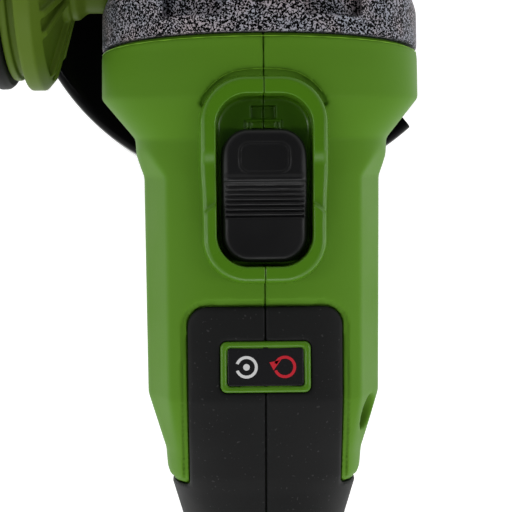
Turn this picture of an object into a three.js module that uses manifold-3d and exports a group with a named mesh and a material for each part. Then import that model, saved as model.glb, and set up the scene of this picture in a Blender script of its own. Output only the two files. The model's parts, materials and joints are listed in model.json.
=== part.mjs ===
// Cordless angle grinder of the 125 mm class, in millimetres.
// +Z points up to the switch side, +Y forward to the gear head, +X to the right.
// The origin is on the spindle axis, at the spindle's lower end face.
import * as THREE from "three";
import { mergeVertices } from "three/addons/utils/BufferGeometryUtils.js";
import Module from "manifold-3d";

const wasm = await Module();
wasm.setup();

// ---- driving dimensions ----
const GAP = 0.3; // clearance between pieces that touch
const REST_Z = -2; // the plane that the grinder lies on
const MOTOR_Z = 70; // height of the motor axis
const WALL = 3; // wall of the moulded housing
const SKIN = 1.6; // thickness of the soft overmould

const SPINDLE_R = 7; // M14 thread
const CROWN_TEETH = 37;
const PINION_TEETH = 11;
const CROWN_R = 24; // outer pitch radius of the crown wheel
const LOCK_Y = 14; // lock pin, in front of the spindle axis
const LOCK_TRAVEL = 4;

const FLANGE_Y = -36.5; // joint between gear housing and motor housing
const GEAR_FLOOR_Z = 40.3; // underside of the gear housing
const GEAR_CAVITY_R = 26.5;

const GUARD_R = 69.5;
const GUARD_TOP_Z = 29;
const GUARD_MID_ANGLE = 41.4; // middle of the guard's open half, in degrees from +X
const COLLAR_R = 23;

const SLIDER = { width: 19.3, front: -58.5, rear: -90.1, bottom: 101.6, top: 110.6, corner: 5.8 };
const BEZEL_OUTER = { width: 29.6, front: -46.4, rear: -95.2, corner: 10.5 };
const BEZEL_INNER = { width: 22.5, front: -50.3, rear: -91, corner: 7 };
const BEZEL_TOP_Z = 109.5;
const RECESS_FLOOR_Z = 101;

const SKIN_WIDTH = 36.8; // overmould on the top of the body
const SKIN_FRONT_Y = -100.8;
const SKIN_WRAP_Y = -147; // behind this the overmould goes all round
const BADGE = { width: 21.7, length: 12.3, y: -115.3 };

const HANDLE_Y = -15.3;
const HANDLE_BOSS_X = 38.4;
const HANDLE_NECK_R = 9.7;

const FOOT_FRONT_Y = -222;
const FOOT_Z = 42; // underside of the battery foot
const PACK = { width: 76, front: -200, rear: -318 };
const CELL_R = 9.6;
const CELL_LENGTH = 66;

// Outer sections of the housing from front to rear: half width, height above and below
// the motor axis, and squareness (2 is an ellipse, more is squarer).
const BODY_STATIONS = [
  { y: -36.8, w: 41, up: 37.7, down: 31, n: 2.35 },
  { y: -38, w: 41.3, up: 38, down: 31.2, n: 2.35 },
  { y: -48, w: 41.3, up: 38, down: 33, n: 2.4 },
  { y: -58.5, w: 32.6, up: 35, down: 34, n: 2.8 },
  { y: -62.3, w: 32.2, up: 34.5, down: 34, n: 3 },
  { y: -68, w: 30.3, up: 34, down: 34, n: 3.2 },
  { y: -123.5, w: 30, up: 33, down: 33, n: 3.2 },
  { y: -138, w: 25.6, up: 29.5, down: 28, n: 3 },
  { y: -143, w: 25.1, up: 28.5, down: 27, n: 2.9 },
  { y: -150, w: 22.6, up: 27, down: 24, n: 2.7 },
  { y: -157, w: 21.2, up: 26, down: 23, n: 2.6 },
  { y: -185, w: 21, up: 25, down: 22, n: 2.5 },
  { y: -210, w: 22.5, up: 25, down: 23, n: 2.6 },
  { y: -228, w: 30, up: 25.5, down: 30, n: 3 },
  { y: -242, w: 36, up: 25, down: 34, n: 3.6 },
  { y: -300, w: 36.5, up: 22, down: 34, n: 4 },
  { y: -315, w: 34.5, up: 19, down: 34, n: 4 },
];
const HEAD_STATIONS = [
  { y: 38.5, w: 9, up: 23, down: 34, n: 2.4 },
  { y: 36, w: 17, up: 29, down: 38, n: 2.6 },
  { y: 28, w: 26, up: 34, down: 42, n: 2.8 },
  { y: 15, w: 32, up: 36.5, down: 42, n: 3 },
  { y: 0, w: 35, up: 37.2, down: 42, n: 3 },
  { y: -22, w: 38, up: 37.6, down: 42, n: 2.9 },
  { y: -25.5, w: 41.3, up: 38, down: 31, n: 2.35 },
  { y: FLANGE_Y, w: 41.3, up: 38, down: 31, n: 2.35 },
];

// ---- materials ----
const plastic = (color) => new THREE.MeshStandardMaterial({ color, roughness: 0.5, metalness: 0 });
const metal = (color, roughness) =>
  new THREE.MeshStandardMaterial({ color, roughness, metalness: 1 });
const GREEN = plastic(0x4c7a22);
const BLACK = plastic(0x1c1c1d);
const SOFT = new THREE.MeshStandardMaterial({ color: 0x202122, roughness: 0.8, metalness: 0 });
const HAMMERED = new THREE.MeshStandardMaterial({ color: 0x4c4a50, roughness: 0.5, metalness: 0.4 });
const GUARD_PAINT = new THREE.MeshStandardMaterial({ color: 0x050505, roughness: 0.2, metalness: 0 });
const STEEL = metal(0x9a9a98, 0.35);
const DARK_STEEL = metal(0x3a3a3c, 0.45);
const COPPER = metal(0xb06a3a, 0.4);
const ALUMINIUM = metal(0xb8babd, 0.4);
const BOARD = plastic(0x14502c);
const CELL_WRAP = plastic(0x2c5f8a);

// ---- solids ----
function solid(geometry, tolerance = 1e-4) {
  const bare = geometry.clone();
  bare.deleteAttribute("normal");
  bare.deleteAttribute("uv");
  const merged = mergeVertices(bare, tolerance);
  return new wasm.Manifold(
    new wasm.Mesh({
      numProp: 3,
      vertProperties: merged.attributes.position.array,
      triVerts: new Uint32Array(merged.index.array),
    }),
  );
}

function geometryOf(made) {
  const mesh = made.getMesh();
  const geometry = new THREE.BufferGeometry();
  geometry.setAttribute("position", new THREE.BufferAttribute(mesh.vertProperties, 3));
  return geometry.setIndex(new THREE.BufferAttribute(mesh.triVerts, 1));
}

// Thin crumbs can be left where offset skins meet: this keeps the one large body.
function largest(made) {
  const bodies = solid(geometryOf(made), 2e-3).decompose();
  return bodies.sort((a, b) => b.volume() - a.volume())[0];
}

const join = (first, ...rest) => rest.reduce((made, piece) => made.add(piece), first);
const cut = (first, ...rest) => rest.reduce((made, piece) => made.subtract(piece), first);
const radians = THREE.MathUtils.degToRad;

function block(x0, x1, y0, y1, z0, z1) {
  const box = new THREE.BoxGeometry(x1 - x0, y1 - y0, z1 - z0);
  return solid(box.translate((x0 + x1) / 2, (y0 + y1) / 2, (z0 + z1) / 2));
}

// Round bars along Z, Y and X; `sides` sets how finely the circle is cut.
function barZ(r, x, y, z0, z1, sides = 16) {
  const bar = new THREE.CylinderGeometry(r, r, z1 - z0, sides).rotateX(Math.PI / 2);
  return solid(bar.translate(x, y, (z0 + z1) / 2));
}

function barY(r, x, z, y0, y1, sides = 16) {
  const bar = new THREE.CylinderGeometry(r, r, y1 - y0, sides);
  return solid(bar.translate(x, (y0 + y1) / 2, z));
}

function barX(r, y, z, x0, x1, sides = 16) {
  const bar = new THREE.CylinderGeometry(r, r, x1 - x0, sides).rotateZ(Math.PI / 2);
  return solid(bar.translate((x0 + x1) / 2, y, z));
}

// A turned piece about Z from [radius, height] pairs, anticlockwise round the section.
function turnedZ(profile, sides = 20) {
  const points = profile.map(([r, z]) => new THREE.Vector2(r, z));
  return solid(new THREE.LatheGeometry(points, sides).rotateX(Math.PI / 2));
}

// A ring along Y or Z with a rectangular section.
const ring = (bar, inner, outer, a, b, from, to) =>
  cut(bar(outer, a, b, from, to), bar(inner, a, b, from - 1, to + 1));

// A turned piece about the motor axis from [radius, distance along Y] pairs.
function turnedY(profile, sides = 20) {
  const points = profile.map(([r, y]) => new THREE.Vector2(r, y));
  return solid(new THREE.LatheGeometry(points, sides).translate(0, 0, MOTOR_Z));
}

// A turned piece about the side handle's axis from [radius, distance to the left] pairs.
function turnedHandle(profile, sides = 24) {
  const points = profile.map(([r, s]) => new THREE.Vector2(r, s));
  const lathe = new THREE.LatheGeometry(points, sides).rotateZ(Math.PI / 2);
  return solid(lathe.translate(0, HANDLE_Y, MOTOR_Z));
}

// A rectangle with round corners in the XY plane, drawn up from z0 to z1.
function roundedBlock({ width, front, rear, corner }, z0, z1, grow = 0) {
  const x = width / 2 + grow;
  const r = corner + grow;
  const [y0, y1] = [rear - grow, front + grow];
  const shape = new THREE.Shape();
  shape.moveTo(-x + r, y0).lineTo(x - r, y0).absarc(x - r, y0 + r, r, -Math.PI / 2, 0);
  shape.lineTo(x, y1 - r).absarc(x - r, y1 - r, r, 0, Math.PI / 2);
  shape.lineTo(-x + r, y1).absarc(-x + r, y1 - r, r, Math.PI / 2, Math.PI);
  shape.lineTo(-x, y0 + r).absarc(-x + r, y0 + r, r, Math.PI, 1.5 * Math.PI);
  const options = { depth: z1 - z0, bevelEnabled: false, curveSegments: 4 };
  return solid(new THREE.ExtrudeGeometry(shape, options).translate(0, 0, z0));
}

// A body drawn through superelliptic sections along Y, made smaller all round by `inset`.
function loft(stations, inset = 0, sides = 24) {
  const circle = new THREE.Shape(
    Array.from({ length: sides }, (_, i) => {
      const angle = (2 * Math.PI * i) / sides;
      return new THREE.Vector2(Math.cos(angle), Math.sin(angle));
    }),
  );
  const steps = stations.length - 1;
  const geometry = new THREE.ExtrudeGeometry(circle, { depth: steps, steps, bevelEnabled: false });
  const at = geometry.attributes.position;
  const swell = (value, n) => Math.sign(value) * Math.abs(value) ** (2 / n);
  for (let i = 0; i < at.count; i++) {
    const s = stations[Math.round(at.getZ(i))];
    const side = swell(Math.abs(at.getX(i)) < 1e-6 ? 0 : at.getX(i), s.n);
    const rise = swell(Math.abs(at.getY(i)) < 1e-6 ? 0 : at.getY(i), s.n);
    const height = (rise > 0 ? s.up : s.down) - inset;
    at.setXYZ(i, side * (s.w - inset), s.y, MOTOR_Z + rise * height);
  }
  return solid(geometry);
}

const FAR = 400;
const rightHalf = () => block(0.08, FAR, -FAR, FAR, -FAR, FAR);
const leftHalf = () => block(-FAR, -0.08, -FAR, FAR, -FAR, FAR);

// ---- the exported assembly ----
const grinder = new THREE.Group();

function add(name, made, material) {
  const node = new THREE.Mesh(geometryOf(made), material);
  node.name = name;
  grinder.add(node);
}

// ---- motor housing, two halves ----
const HOUSING_SCREWS = [
  { y: -128, z: 88.5, head: 19 },
  { y: -127.6, z: 52, head: 19 },
  { y: -213, z: 62, head: 14 },
];
const HOUSING_SCREW_TIP_X = -14;
const FRONT_SCREWS = [
  { x: -17, z: 101, head: -21.5 },
  { x: 17, z: 101, head: -21.5 },
  { x: -27, z: 47, head: -31 },
  { x: 27, z: 47, head: -31 },
];
const FRONT_SCREW_TIP_Y = -47;
const RAIL = { stem: 20, wing: 25, neck: 46, top: 50, front: -225, rear: -312 };

// The rail of the battery, or with `grow` the slot that takes it.
function rail(grow, rear) {
  const front = RAIL.front + grow;
  return join(
    block(-RAIL.stem - grow, RAIL.stem + grow, rear, front, FOOT_Z - 2, RAIL.top + grow),
    block(-RAIL.wing - grow, RAIL.wing + grow, rear, front, RAIL.neck - grow, RAIL.top + grow),
  );
}

// The region that the overmould covers: a panel on top, and everything behind the green shell.
function skinRegion(shrink) {
  const panel = { width: SKIN_WIDTH, front: SKIN_FRONT_Y, rear: -200, corner: 4.8 };
  const wrap = block(-FAR, FAR, FOOT_FRONT_Y + shrink, SKIN_WRAP_Y - shrink, -FAR, FAR);
  const frame = { width: BADGE.width, corner: 1.5 };
  frame.front = BADGE.y + BADGE.length / 2;
  frame.rear = BADGE.y - BADGE.length / 2;
  const covered = join(roundedBlock(panel, MOTOR_Z + 12, 130, -shrink), wrap);
  return cut(covered, roundedBlock(frame, MOTOR_Z, 130, shrink));
}

// Posts for the screws, trimmed to the outside of the shell.
function housingPosts(outside) {
  const across = HOUSING_SCREWS.map(({ y, z }) => barX(4.2, y, z, -40, 40, 10));
  const middle = block(-8, 8, -140, -115, 80, 110); // kept free for the switch rod
  const along = FRONT_SCREWS.map(({ x, z }) =>
    barY(4.5, x, z, FRONT_SCREW_TIP_Y - 3, FLANGE_Y - GAP, 10),
  );
  return cut(join(...across, ...along), middle).intersect(outside);
}

function housingHoles() {
  const across = HOUSING_SCREWS.flatMap(({ y, z, head }) => [
    barX(1.95, y, z, HOUSING_SCREW_TIP_X - 2, head + 1, 10),
    barX(3.4, y, z, head - 2.6, 60, 12),
  ]);
  const along = FRONT_SCREWS.map(({ x, z }) => barY(1.95, x, z, FRONT_SCREW_TIP_Y - 1, 0, 8));
  return join(...across, ...along);
}

function housingShell() {
  const outside = loft(BODY_STATIONS);
  const inside = loft(BODY_STATIONS, WALL + SKIN, 16);
  const openFront = barY(35, 0, MOTOR_Z, -60, -30, 32).intersect(loft(BODY_STATIONS, WALL, 20));
  const foot = block(-FAR, FAR, -FAR, FOOT_FRONT_Y + 12, -FAR, FOOT_Z);
  const footFloor = block(-FAR, FAR, -FAR, FOOT_FRONT_Y, -FAR, RAIL.top + WALL);
  const rearWall = block(-FAR, FAR, -FAR, BODY_STATIONS.at(-1).y + WALL, -FAR, FAR);
  const bezel = roundedBlock(BEZEL_OUTER, RECESS_FLOOR_Z - WALL, BEZEL_TOP_Z);
  const frontMouth = block(-33, 33, FLANGE_Y - 20, FLANGE_Y + 5, 45, 96);
  const vents = [-262, -272, -282].map((y) => block(-60, 60, y - 1.5, y + 1.5, 62, 76));
  const shell = join(
    cut(outside, cut(inside, footFloor, rearWall), openFront),
    housingPosts(outside),
    bezel,
  );
  const skinBed = cut(skinRegion(0), loft(BODY_STATIONS, SKIN + GAP));
  return cut(
    shell,
    foot,
    rail(GAP, -FAR),
    frontMouth.intersect(loft(BODY_STATIONS, WALL, 20)),
    roundedBlock(BEZEL_INNER, RECESS_FLOOR_Z, 130),
    block(-5.3, 5.3, -84, -58.5, 90, 130), // slot for the stem of the slider
    skinBed,
    housingHoles(),
    terminalOpening(),
    ...vents,
  );
}

function addHousing() {
  const shell = housingShell();
  add("housing_left", largest(shell.intersect(leftHalf())), GREEN);
  add("housing_right", largest(shell.intersect(rightHalf())), GREEN);
}

function addOvermould() {
  const outside = loft(BODY_STATIONS);
  const skin = cut(outside, loft(BODY_STATIONS, SKIN)).intersect(skinRegion(GAP));
  const pockets = HOUSING_SCREWS.map(({ y, z }) => barX(4.6, y, z, 0, 60, 12));
  const clear = cut(skin, ...pockets, block(-FAR, FAR, -FAR, TERMINAL.front + 2, -FAR, 57));
  add("grip_left", largest(clear.intersect(leftHalf())), SOFT);
  add("grip_right", largest(clear.intersect(rightHalf())), SOFT);
}

function addHousingScrews() {
  HOUSING_SCREWS.forEach(({ y, z, head }, i) => {
    const shank = barX(1.6, y, z, HOUSING_SCREW_TIP_X, head, 8);
    const cap = barX(3, y, z, head - 2.2, head, 12);
    const socket = barX(1.3, y, z, head - 1.2, head + 1, 6);
    add(`housing_screw_${i + 1}`, cut(join(shank, cap), socket), DARK_STEEL);
  });
}

// ---- gear head ----
function gearHousingShell() {
  const outside = loft(HEAD_STATIONS).intersect(block(-FAR, FAR, -FAR, FAR, GEAR_FLOOR_Z, FAR));
  const bosses = barX(12, HANDLE_Y, MOTOR_Z, -HANDLE_BOSS_X, HANDLE_BOSS_X, 20);
  const topPockets = [-1, 1].map((side) => {
    const [near, far] = [9.5 * side, 24.2 * side].sort((a, b) => a - b);
    return join(block(near, far, -29.4, -8, 104.6, 130), block(near, far, -21.2, -8, 95.5, 130));
  });
  const bottomPockets = [-1, 1].map((side) => {
    const [near, far] = [21 * side, 45 * side].sort((a, b) => a - b);
    return block(near, far, -31, -21, 30, 52);
  });
  const spotFaces = [
    barX(HANDLE_NECK_R + 0.6, HANDLE_Y, MOTOR_Z, HANDLE_BOSS_X, 60, 20),
    barX(HANDLE_NECK_R + 0.6, HANDLE_Y, MOTOR_Z, -60, -HANDLE_BOSS_X, 20),
  ];
  return cut(join(outside, bosses), ...topPockets, ...bottomPockets, ...spotFaces);
}

function addGearHousing() {
  const cavity = barZ(GEAR_CAVITY_R, 0, 0, 30, 84, 28);
  const upperSeat = barZ(8.3, 0, 0, 80, 96.5);
  const motorSeat = barY(13.3, 0, MOTOR_Z, -50, -20);
  const lockHole = join(
    barZ(2.7, 0, LOCK_Y, 80, 120, 16),
    barZ(5.4, 0, LOCK_Y, 92, 120, 20),
    barZ(8, 0, LOCK_Y, 99, 120, 24),
  );
  const studHoles = [
    barX(4.4, HANDLE_Y, MOTOR_Z, -60, -30, 20),
    barX(4.4, HANDLE_Y, MOTOR_Z, 30, 60, 20),
  ];
  const screwHoles = FRONT_SCREWS.map(({ x, z, head }) => barY(2, x, z, -50, head + 1, 8));
  const coverHoles = COVER_SCREWS.map(({ x, y }) => barZ(1.9, x, y, 30, 51, 8));
  const shell = cut(
    gearHousingShell(),
    cavity,
    upperSeat,
    motorSeat,
    lockHole,
    ...studHoles,
    ...screwHoles,
    ...coverHoles,
  );
  add("gear_housing", shell, HAMMERED);
}

function addFrontScrews() {
  FRONT_SCREWS.forEach(({ x, z, head }, i) => {
    const shank = barY(1.6, x, z, FRONT_SCREW_TIP_Y, head + 1, 8);
    const cap = barY(3.4, x, z, head + 2 * GAP, head + 3, 12);
    const socket = barY(1.5, x, z, head + 1.4, head + 5, 6);
    add(`head_screw_${i + 1}`, cut(join(shank, cap), socket), DARK_STEEL);
  });
}

const COVER_SCREWS = [
  { x: -19, y: 22.6 },
  { x: 19, y: 22.6 },
  { x: -26.7, y: -12.5 },
  { x: 26.7, y: -12.5 },
];

function addBearingCover() {
  const cover = turnedZ(
    [
      [12, 26],
      [COLLAR_R, 26],
      [COLLAR_R, 37.2],
      [33, 37.2],
      [33, 40],
      [20, 40],
      [20, 53],
      [16.4, 53],
      [16.4, 42.6],
      [12, 42.6],
      [12, 26],
    ],
    28,
  );
  const holes = COVER_SCREWS.flatMap(({ x, y }) => [
    barZ(1.9, x, y, 30, 50, 8),
    barZ(3.1, x, y, 30, 38.7, 12),
  ]);
  add("bearing_cover", cut(cover, ...holes), ALUMINIUM);
  COVER_SCREWS.forEach(({ x, y }, i) => {
    const screw = join(barZ(2.7, x, y, 37.3, 38.4, 12), barZ(1.5, x, y, 38, 50, 8));
    add(`cover_screw_${i + 1}`, cut(screw, barZ(1.2, x, y, 36, 38, 6)), DARK_STEEL);
  });
}

// ---- spindle, bevel gears and bearings ----
function addSpindle() {
  const spindle = turnedZ([
    [0, 0],
    [SPINDLE_R - 0.8, 0],
    [SPINDLE_R, 0.8],
    [SPINDLE_R, 25],
    [8, 25],
    [8, 53.6],
    [6, 53.6],
    [6, 67],
    [5, 67],
    [5, 95],
    [0, 95],
  ]);
  add("spindle", spindle, STEEL);
  const bearing = (name, inner, outer, z0, z1) =>
    add(name, ring(barZ, inner, outer, 0, 0, z0, z1), STEEL);
  bearing("spindle_bearing_lower", 8.3, 16.1, 43, 52.6);
  bearing("spindle_bearing_upper", 5.3, 8, 86, 94);
}

function addFlangeAndNut() {
  const flange = cut(
    turnedZ([
      [SPINDLE_R + GAP, 16.6],
      [11, 16.6],
      [11, 18],
      [18, 18],
      [18, 16.6],
      [21, 16.6],
      [21, 21],
      [12, 24.4],
      [SPINDLE_R + GAP, 24.4],
      [SPINDLE_R + GAP, 16.6],
    ]),
  );
  add("inner_flange", flange, STEEL);
  const nut = turnedZ([
    [SPINDLE_R + GAP, 8],
    [13, 8],
    [20, 10.4],
    [20, 14.4],
    [SPINDLE_R + GAP, 14.4],
    [SPINDLE_R + GAP, 8],
  ]);
  const pinHoles = [0, 1].map((i) => barZ(2.5, 15 * (1 - 2 * i), 0, 5, 20, 12));
  add("lock_nut", cut(nut, ...pinHoles), DARK_STEEL);
}

// Pitch cones of the bevel pair meet where the two axes cross, at the height of the motor.
const PINION_R = (CROWN_R * PINION_TEETH) / CROWN_TEETH;
const ROOT_DEPTH = 0.9;
const TIP_HEIGHT = 0.6;
const TEETH_FROM = 18; // distance of the tooth ring's inner end from the spindle axis

// A prism along Y from the outer pitch radius inwards, shrinking towards the cones' apex.
function towardsApex(points) {
  const shape = new THREE.Shape(points.map(([x, h]) => new THREE.Vector2(x, h)));
  const geometry = new THREE.ExtrudeGeometry(shape, { depth: 1, bevelEnabled: false });
  const at = geometry.attributes.position;
  for (let i = 0; i < at.count; i++) {
    const reach = at.getZ(i) < 0.5 ? TEETH_FROM : CROWN_R;
    const scale = reach / CROWN_R;
    at.setXYZ(i, at.getX(i) * scale, -reach, MOTOR_Z + at.getY(i) * scale);
  }
  return solid(geometry);
}

function addCrownWheel() {
  const root = (r) => MOTOR_Z - ((PINION_R + ROOT_DEPTH) / CROWN_R) * r;
  const blank = turnedZ(
    [
      [6.3, 54],
      [10, 54],
      [10, 56.5],
      [24.6, 56.5],
      [24.6, root(24.6)],
      [17.4, root(17.4)],
      [17.4, 61],
      [10, 61],
      [10, 66],
      [6.3, 66],
      [6.3, 54],
    ],
    24,
  );
  const tooth = towardsApex([
    [-1.05, -PINION_R - ROOT_DEPTH - 0.6],
    [1.05, -PINION_R - ROOT_DEPTH - 0.6],
    [0.55, -PINION_R + TIP_HEIGHT],
    [-0.55, -PINION_R + TIP_HEIGHT],
  ]);
  const teeth = Array.from({ length: CROWN_TEETH }, (_, k) =>
    tooth.rotate([0, 0, ((k + 0.5) * 360) / CROWN_TEETH]),
  );
  const lockHoles = [0, 1, 2, 3].map((k) => {
    const angle = (k * Math.PI) / 2;
    return barZ(2.9, LOCK_Y * Math.cos(angle), LOCK_Y * Math.sin(angle), 50, 70, 16);
  });
  add("crown_wheel", cut(join(blank, ...teeth), ...lockHoles), DARK_STEEL);
}

function addPinion() {
  const corners = [];
  for (let k = 0; k < PINION_TEETH; k++) {
    const middle = -Math.PI / 2 + (2 * Math.PI * k) / PINION_TEETH;
    const [root, tip] = [PINION_R - ROOT_DEPTH, PINION_R + TIP_HEIGHT];
    const [wide, narrow] = [1.05 / root, 0.55 / tip];
    for (const [r, offset] of [
      [root, -wide],
      [tip, -narrow],
      [tip, narrow],
      [root, wide],
    ])
      corners.push([r * Math.cos(middle + offset), r * Math.sin(middle + offset)]);
  }
  const hub = barY(5.8, 0, MOTOR_Z, -27, -CROWN_R + 0.2, 20);
  const bore = barY(3.3, 0, MOTOR_Z, -60, -5, 16);
  add("pinion", cut(join(towardsApex(corners), hub), bore), DARK_STEEL);
}

// ---- motor ----
const STATOR = { front: -60, rear: -100, outer: 25, inner: 12.3 };

function addMotor() {
  const shaft = turnedY([
    [0, -116],
    [3.5, -116],
    [3.5, -105],
    [4, -105],
    [4, -28],
    [3, -28],
    [3, -15],
    [0, -15],
  ]);
  add("rotor_shaft", shaft, STEEL);
  add("rotor", ring(barY, 4.3, 11.6, 0, MOTOR_Z, STATOR.rear, STATOR.front), DARK_STEEL);
  add("motor_bearing_front", ring(barY, 4.3, 13, 0, MOTOR_Z, -36.2, -28.4), STEEL);
  add("motor_bearing_rear", ring(barY, 3.8, 9.5, 0, MOTOR_Z, -113, -107), STEEL);
  addStator();
  addFan();
  const baffle = ring(barY, 9, 31, 0, MOTOR_Z, -56.5, -54.8).intersect(baffleOutline());
  add("fan_baffle", cut(baffle, block(-20, 20, -60, -50, RECESS_FLOOR_Z - WALL - GAP, 120)), BLACK);
  const endCap = turnedY([
    [9.8, -115.4],
    [14, -115.4],
    [14, -106],
    [24.5, -103.4],
    [24.5, -100.3],
    [20, -100.3],
    [9.8, -104.4],
    [9.8, -115.4],
  ]);
  add("motor_end_cap", endCap, BLACK);
}

const baffleOutline = () => loft(BODY_STATIONS, WALL + GAP, 20);

function addStator() {
  const core = ring(barY, STATOR.inner, STATOR.outer, 0, MOTOR_Z, STATOR.rear, STATOR.front);
  const slots = [0, 1, 2, 3, 4, 5].map((k) => {
    const angle = ((k + 0.5) * Math.PI) / 3;
    const [x, z] = [17.5 * Math.cos(angle), 17.5 * Math.sin(angle)];
    return barY(2.8, x, MOTOR_Z + z, -110, -50, 10);
  });
  add("stator", cut(core, ...slots), COPPER);
}

function addFan() {
  const hub = ring(barY, 4.3, 10, 0, MOTOR_Z, -53, -41);
  const disc = ring(barY, 4.3, 27, 0, MOTOR_Z, -53, -51.6);
  const blades = Array.from({ length: 9 }, (_, k) => {
    const blade = block(9, 26.5, -52, -42.5, -0.7, 0.7);
    return blade.rotate([0, (k * 360) / 9, 0]).translate([0, 0, MOTOR_Z]);
  });
  add("fan", cut(join(hub, disc, ...blades), barY(4.3, 0, MOTOR_Z, -60, -30)), BLACK);
}

// ---- spindle lock ----
function addLockButton() {
  const cap = barZ(7.6, 0, LOCK_Y, 103.5, 109.5, 28);
  const rim = barZ(6.8, 0, LOCK_Y, 109.4, 110.5, 28);
  const pin = barZ(2.3, 0, LOCK_Y, 62, 104, 16);
  add("lock_button", join(cap, rim, pin), BLACK);
  add("lock_button_spring", ring(barZ, 2.9, 5, 0, LOCK_Y, 92.3, 103.2), STEEL);
}

// ---- guard and its clamp lever ----
const LEVER_PIVOT = { angle: 62, r: 30.4 };
const LEVER = { inner: 27.2, outer: 31.4, from: 10, z0: 30, z1: 35.4 };

function leverPivot() {
  const angle = radians(LEVER_PIVOT.angle);
  return [LEVER_PIVOT.r * Math.cos(angle), LEVER_PIVOT.r * Math.sin(angle)];
}

function addGuard() {
  const shoulder = Array.from({ length: 5 }, (_, i) => {
    const angle = (i * Math.PI) / 8;
    return [GUARD_R - 4 + 4 * Math.cos(angle), GUARD_TOP_Z - 4 + 4 * Math.sin(angle)];
  });
  const cup = turnedZ(
    [
      [COLLAR_R + GAP + 0.1, GUARD_TOP_Z - 2],
      [GUARD_R - 4, GUARD_TOP_Z - 2],
      [GUARD_R - 2, GUARD_TOP_Z - 4],
      [GUARD_R - 2, REST_Z + 2],
      [GUARD_R - 5, REST_Z + 2],
      [GUARD_R - 5, REST_Z],
      [GUARD_R, REST_Z],
      ...shoulder,
      [26.4, GUARD_TOP_Z],
      [26.4, 36.8],
      [COLLAR_R + GAP + 0.1, 36.8],
      [COLLAR_R + GAP + 0.1, GUARD_TOP_Z - 2],
    ],
    40,
  );
  const middle = cut(block(0, 90, -90, 90, -20, 60), barZ(34.5, 0, 0, -20, 60, 40));
  const half = cut(cup, middle.rotate([0, 0, GUARD_MID_ANGLE]));
  const [x, y] = leverPivot();
  add("guard", join(half, barZ(1.2, x, y, GUARD_TOP_Z - 1, 36, 12)), GUARD_PAINT);
}

function addGuardLever() {
  const [x, y] = leverPivot();
  const arc = new THREE.Shape();
  const [from, to] = [radians(LEVER.from), radians(LEVER_PIVOT.angle - 4)];
  arc.absarc(0, 0, LEVER.outer, from, to).absarc(0, 0, LEVER.inner, to, from, true);
  arc.closePath();
  const options = { depth: LEVER.z1 - LEVER.z0, bevelEnabled: false, curveSegments: 8 };
  const bar = solid(new THREE.ExtrudeGeometry(arc, options).translate(0, 0, LEVER.z0));
  const eye = barZ(3.4, x, y, LEVER.z0, LEVER.z1, 20);
  add("guard_lever", cut(join(bar, eye), barZ(1.6, x, y, 20, 50, 12)), DARK_STEEL);
}

// ---- slide switch ----
const RIDGES = { first: -71, pitch: 1.28, count: 8 };

function addSwitch() {
  const cap = roundedBlock(SLIDER, SLIDER.bottom, SLIDER.top - 1);
  const front = roundedBlock(
    { width: 12, front: -61.7, rear: -68.6, corner: 2 },
    SLIDER.top - 1.6,
    SLIDER.top,
  );
  const lip = block(-9, 9, -70.9, -69.4, SLIDER.top - 2, SLIDER.top + 0.4);
  const ridges = Array.from({ length: RIDGES.count }, (_, i) => {
    const y = RIDGES.first - i * RIDGES.pitch;
    return block(-9, 9, y - 0.75, y - 0.05, SLIDER.top - 2, SLIDER.top - 0.3);
  });
  const stem = block(-5, 5, -83.5, -67, 97.9, SLIDER.bottom + 1);
  const socket = block(-3.4, 3.4, -79.4, -75.6, 90, 100.5);
  add("switch_slider", cut(join(cap, front, lip, ...ridges, stem), socket), BLACK);
  const rod = join(
    block(-4.5, 4.5, -126, -70, 95.6, 97.3),
    block(-3, 3, -79, -76, 97, 100),
    block(-3, 3, -126, -123, 90, 96),
  );
  add("switch_rod", rod, BLACK);
  add("switch_spring", ring(barY, 1.2, 2, 0, 92.6, -134, -126.3), STEEL);
  const switchBody = join(
    block(-6, 6, -150, -134.3, 80, 90.5),
    block(-4, 4, -137.5, -134.3, 90, 94.3),
    block(-2, 2, -146, -140, 76, 81),
  );
  add("microswitch", switchBody, BLACK);
}

// ---- electronics ----
function addElectronics() {
  const parts = [-196, -186, -176].map((y) => block(-11, -4, y, y + 6, 63, 69));
  add("controller", join(block(-14, 14, -202, -158, 62, 64), ...parts), BOARD);
  const fins = [-1, 2, 5, 8, 11].map((x) => block(x, x + 1.2, -200, -160, 65, 74));
  add("heat_sink", join(block(-1, 12.2, -200, -160, 64.4, 66.5), ...fins), ALUMINIUM);
}

const TERMINAL = { front: -212, rear: -224, blade: -236, x: [-13, 0, 13] };

const terminalOpening = () =>
  join(block(-19.5, 19.5, TERMINAL.rear - 2, TERMINAL.front + GAP, FOOT_Z - 1, 56));

function addTerminals() {
  const body = block(-19, 19, TERMINAL.rear, TERMINAL.front, 43, 55.5);
  const blades = TERMINAL.x.map((x) =>
    block(x - 0.5, x + 0.5, TERMINAL.blade, TERMINAL.rear + 1, 44, 49),
  );
  add("battery_terminals", join(body, ...blades), BLACK);
}

// ---- battery ----
const PACK_TOP_Z = FOOT_Z - GAP;
const PACK_SEAM_Z = 30;
const BUTTON = { width: 20, z0: 17, z1: 27 };

function packBody(z0, z1, inset) {
  const outline = { width: PACK.width, front: PACK.front, rear: PACK.rear, corner: 8 };
  return roundedBlock(outline, z0, z1, -inset);
}

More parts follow.
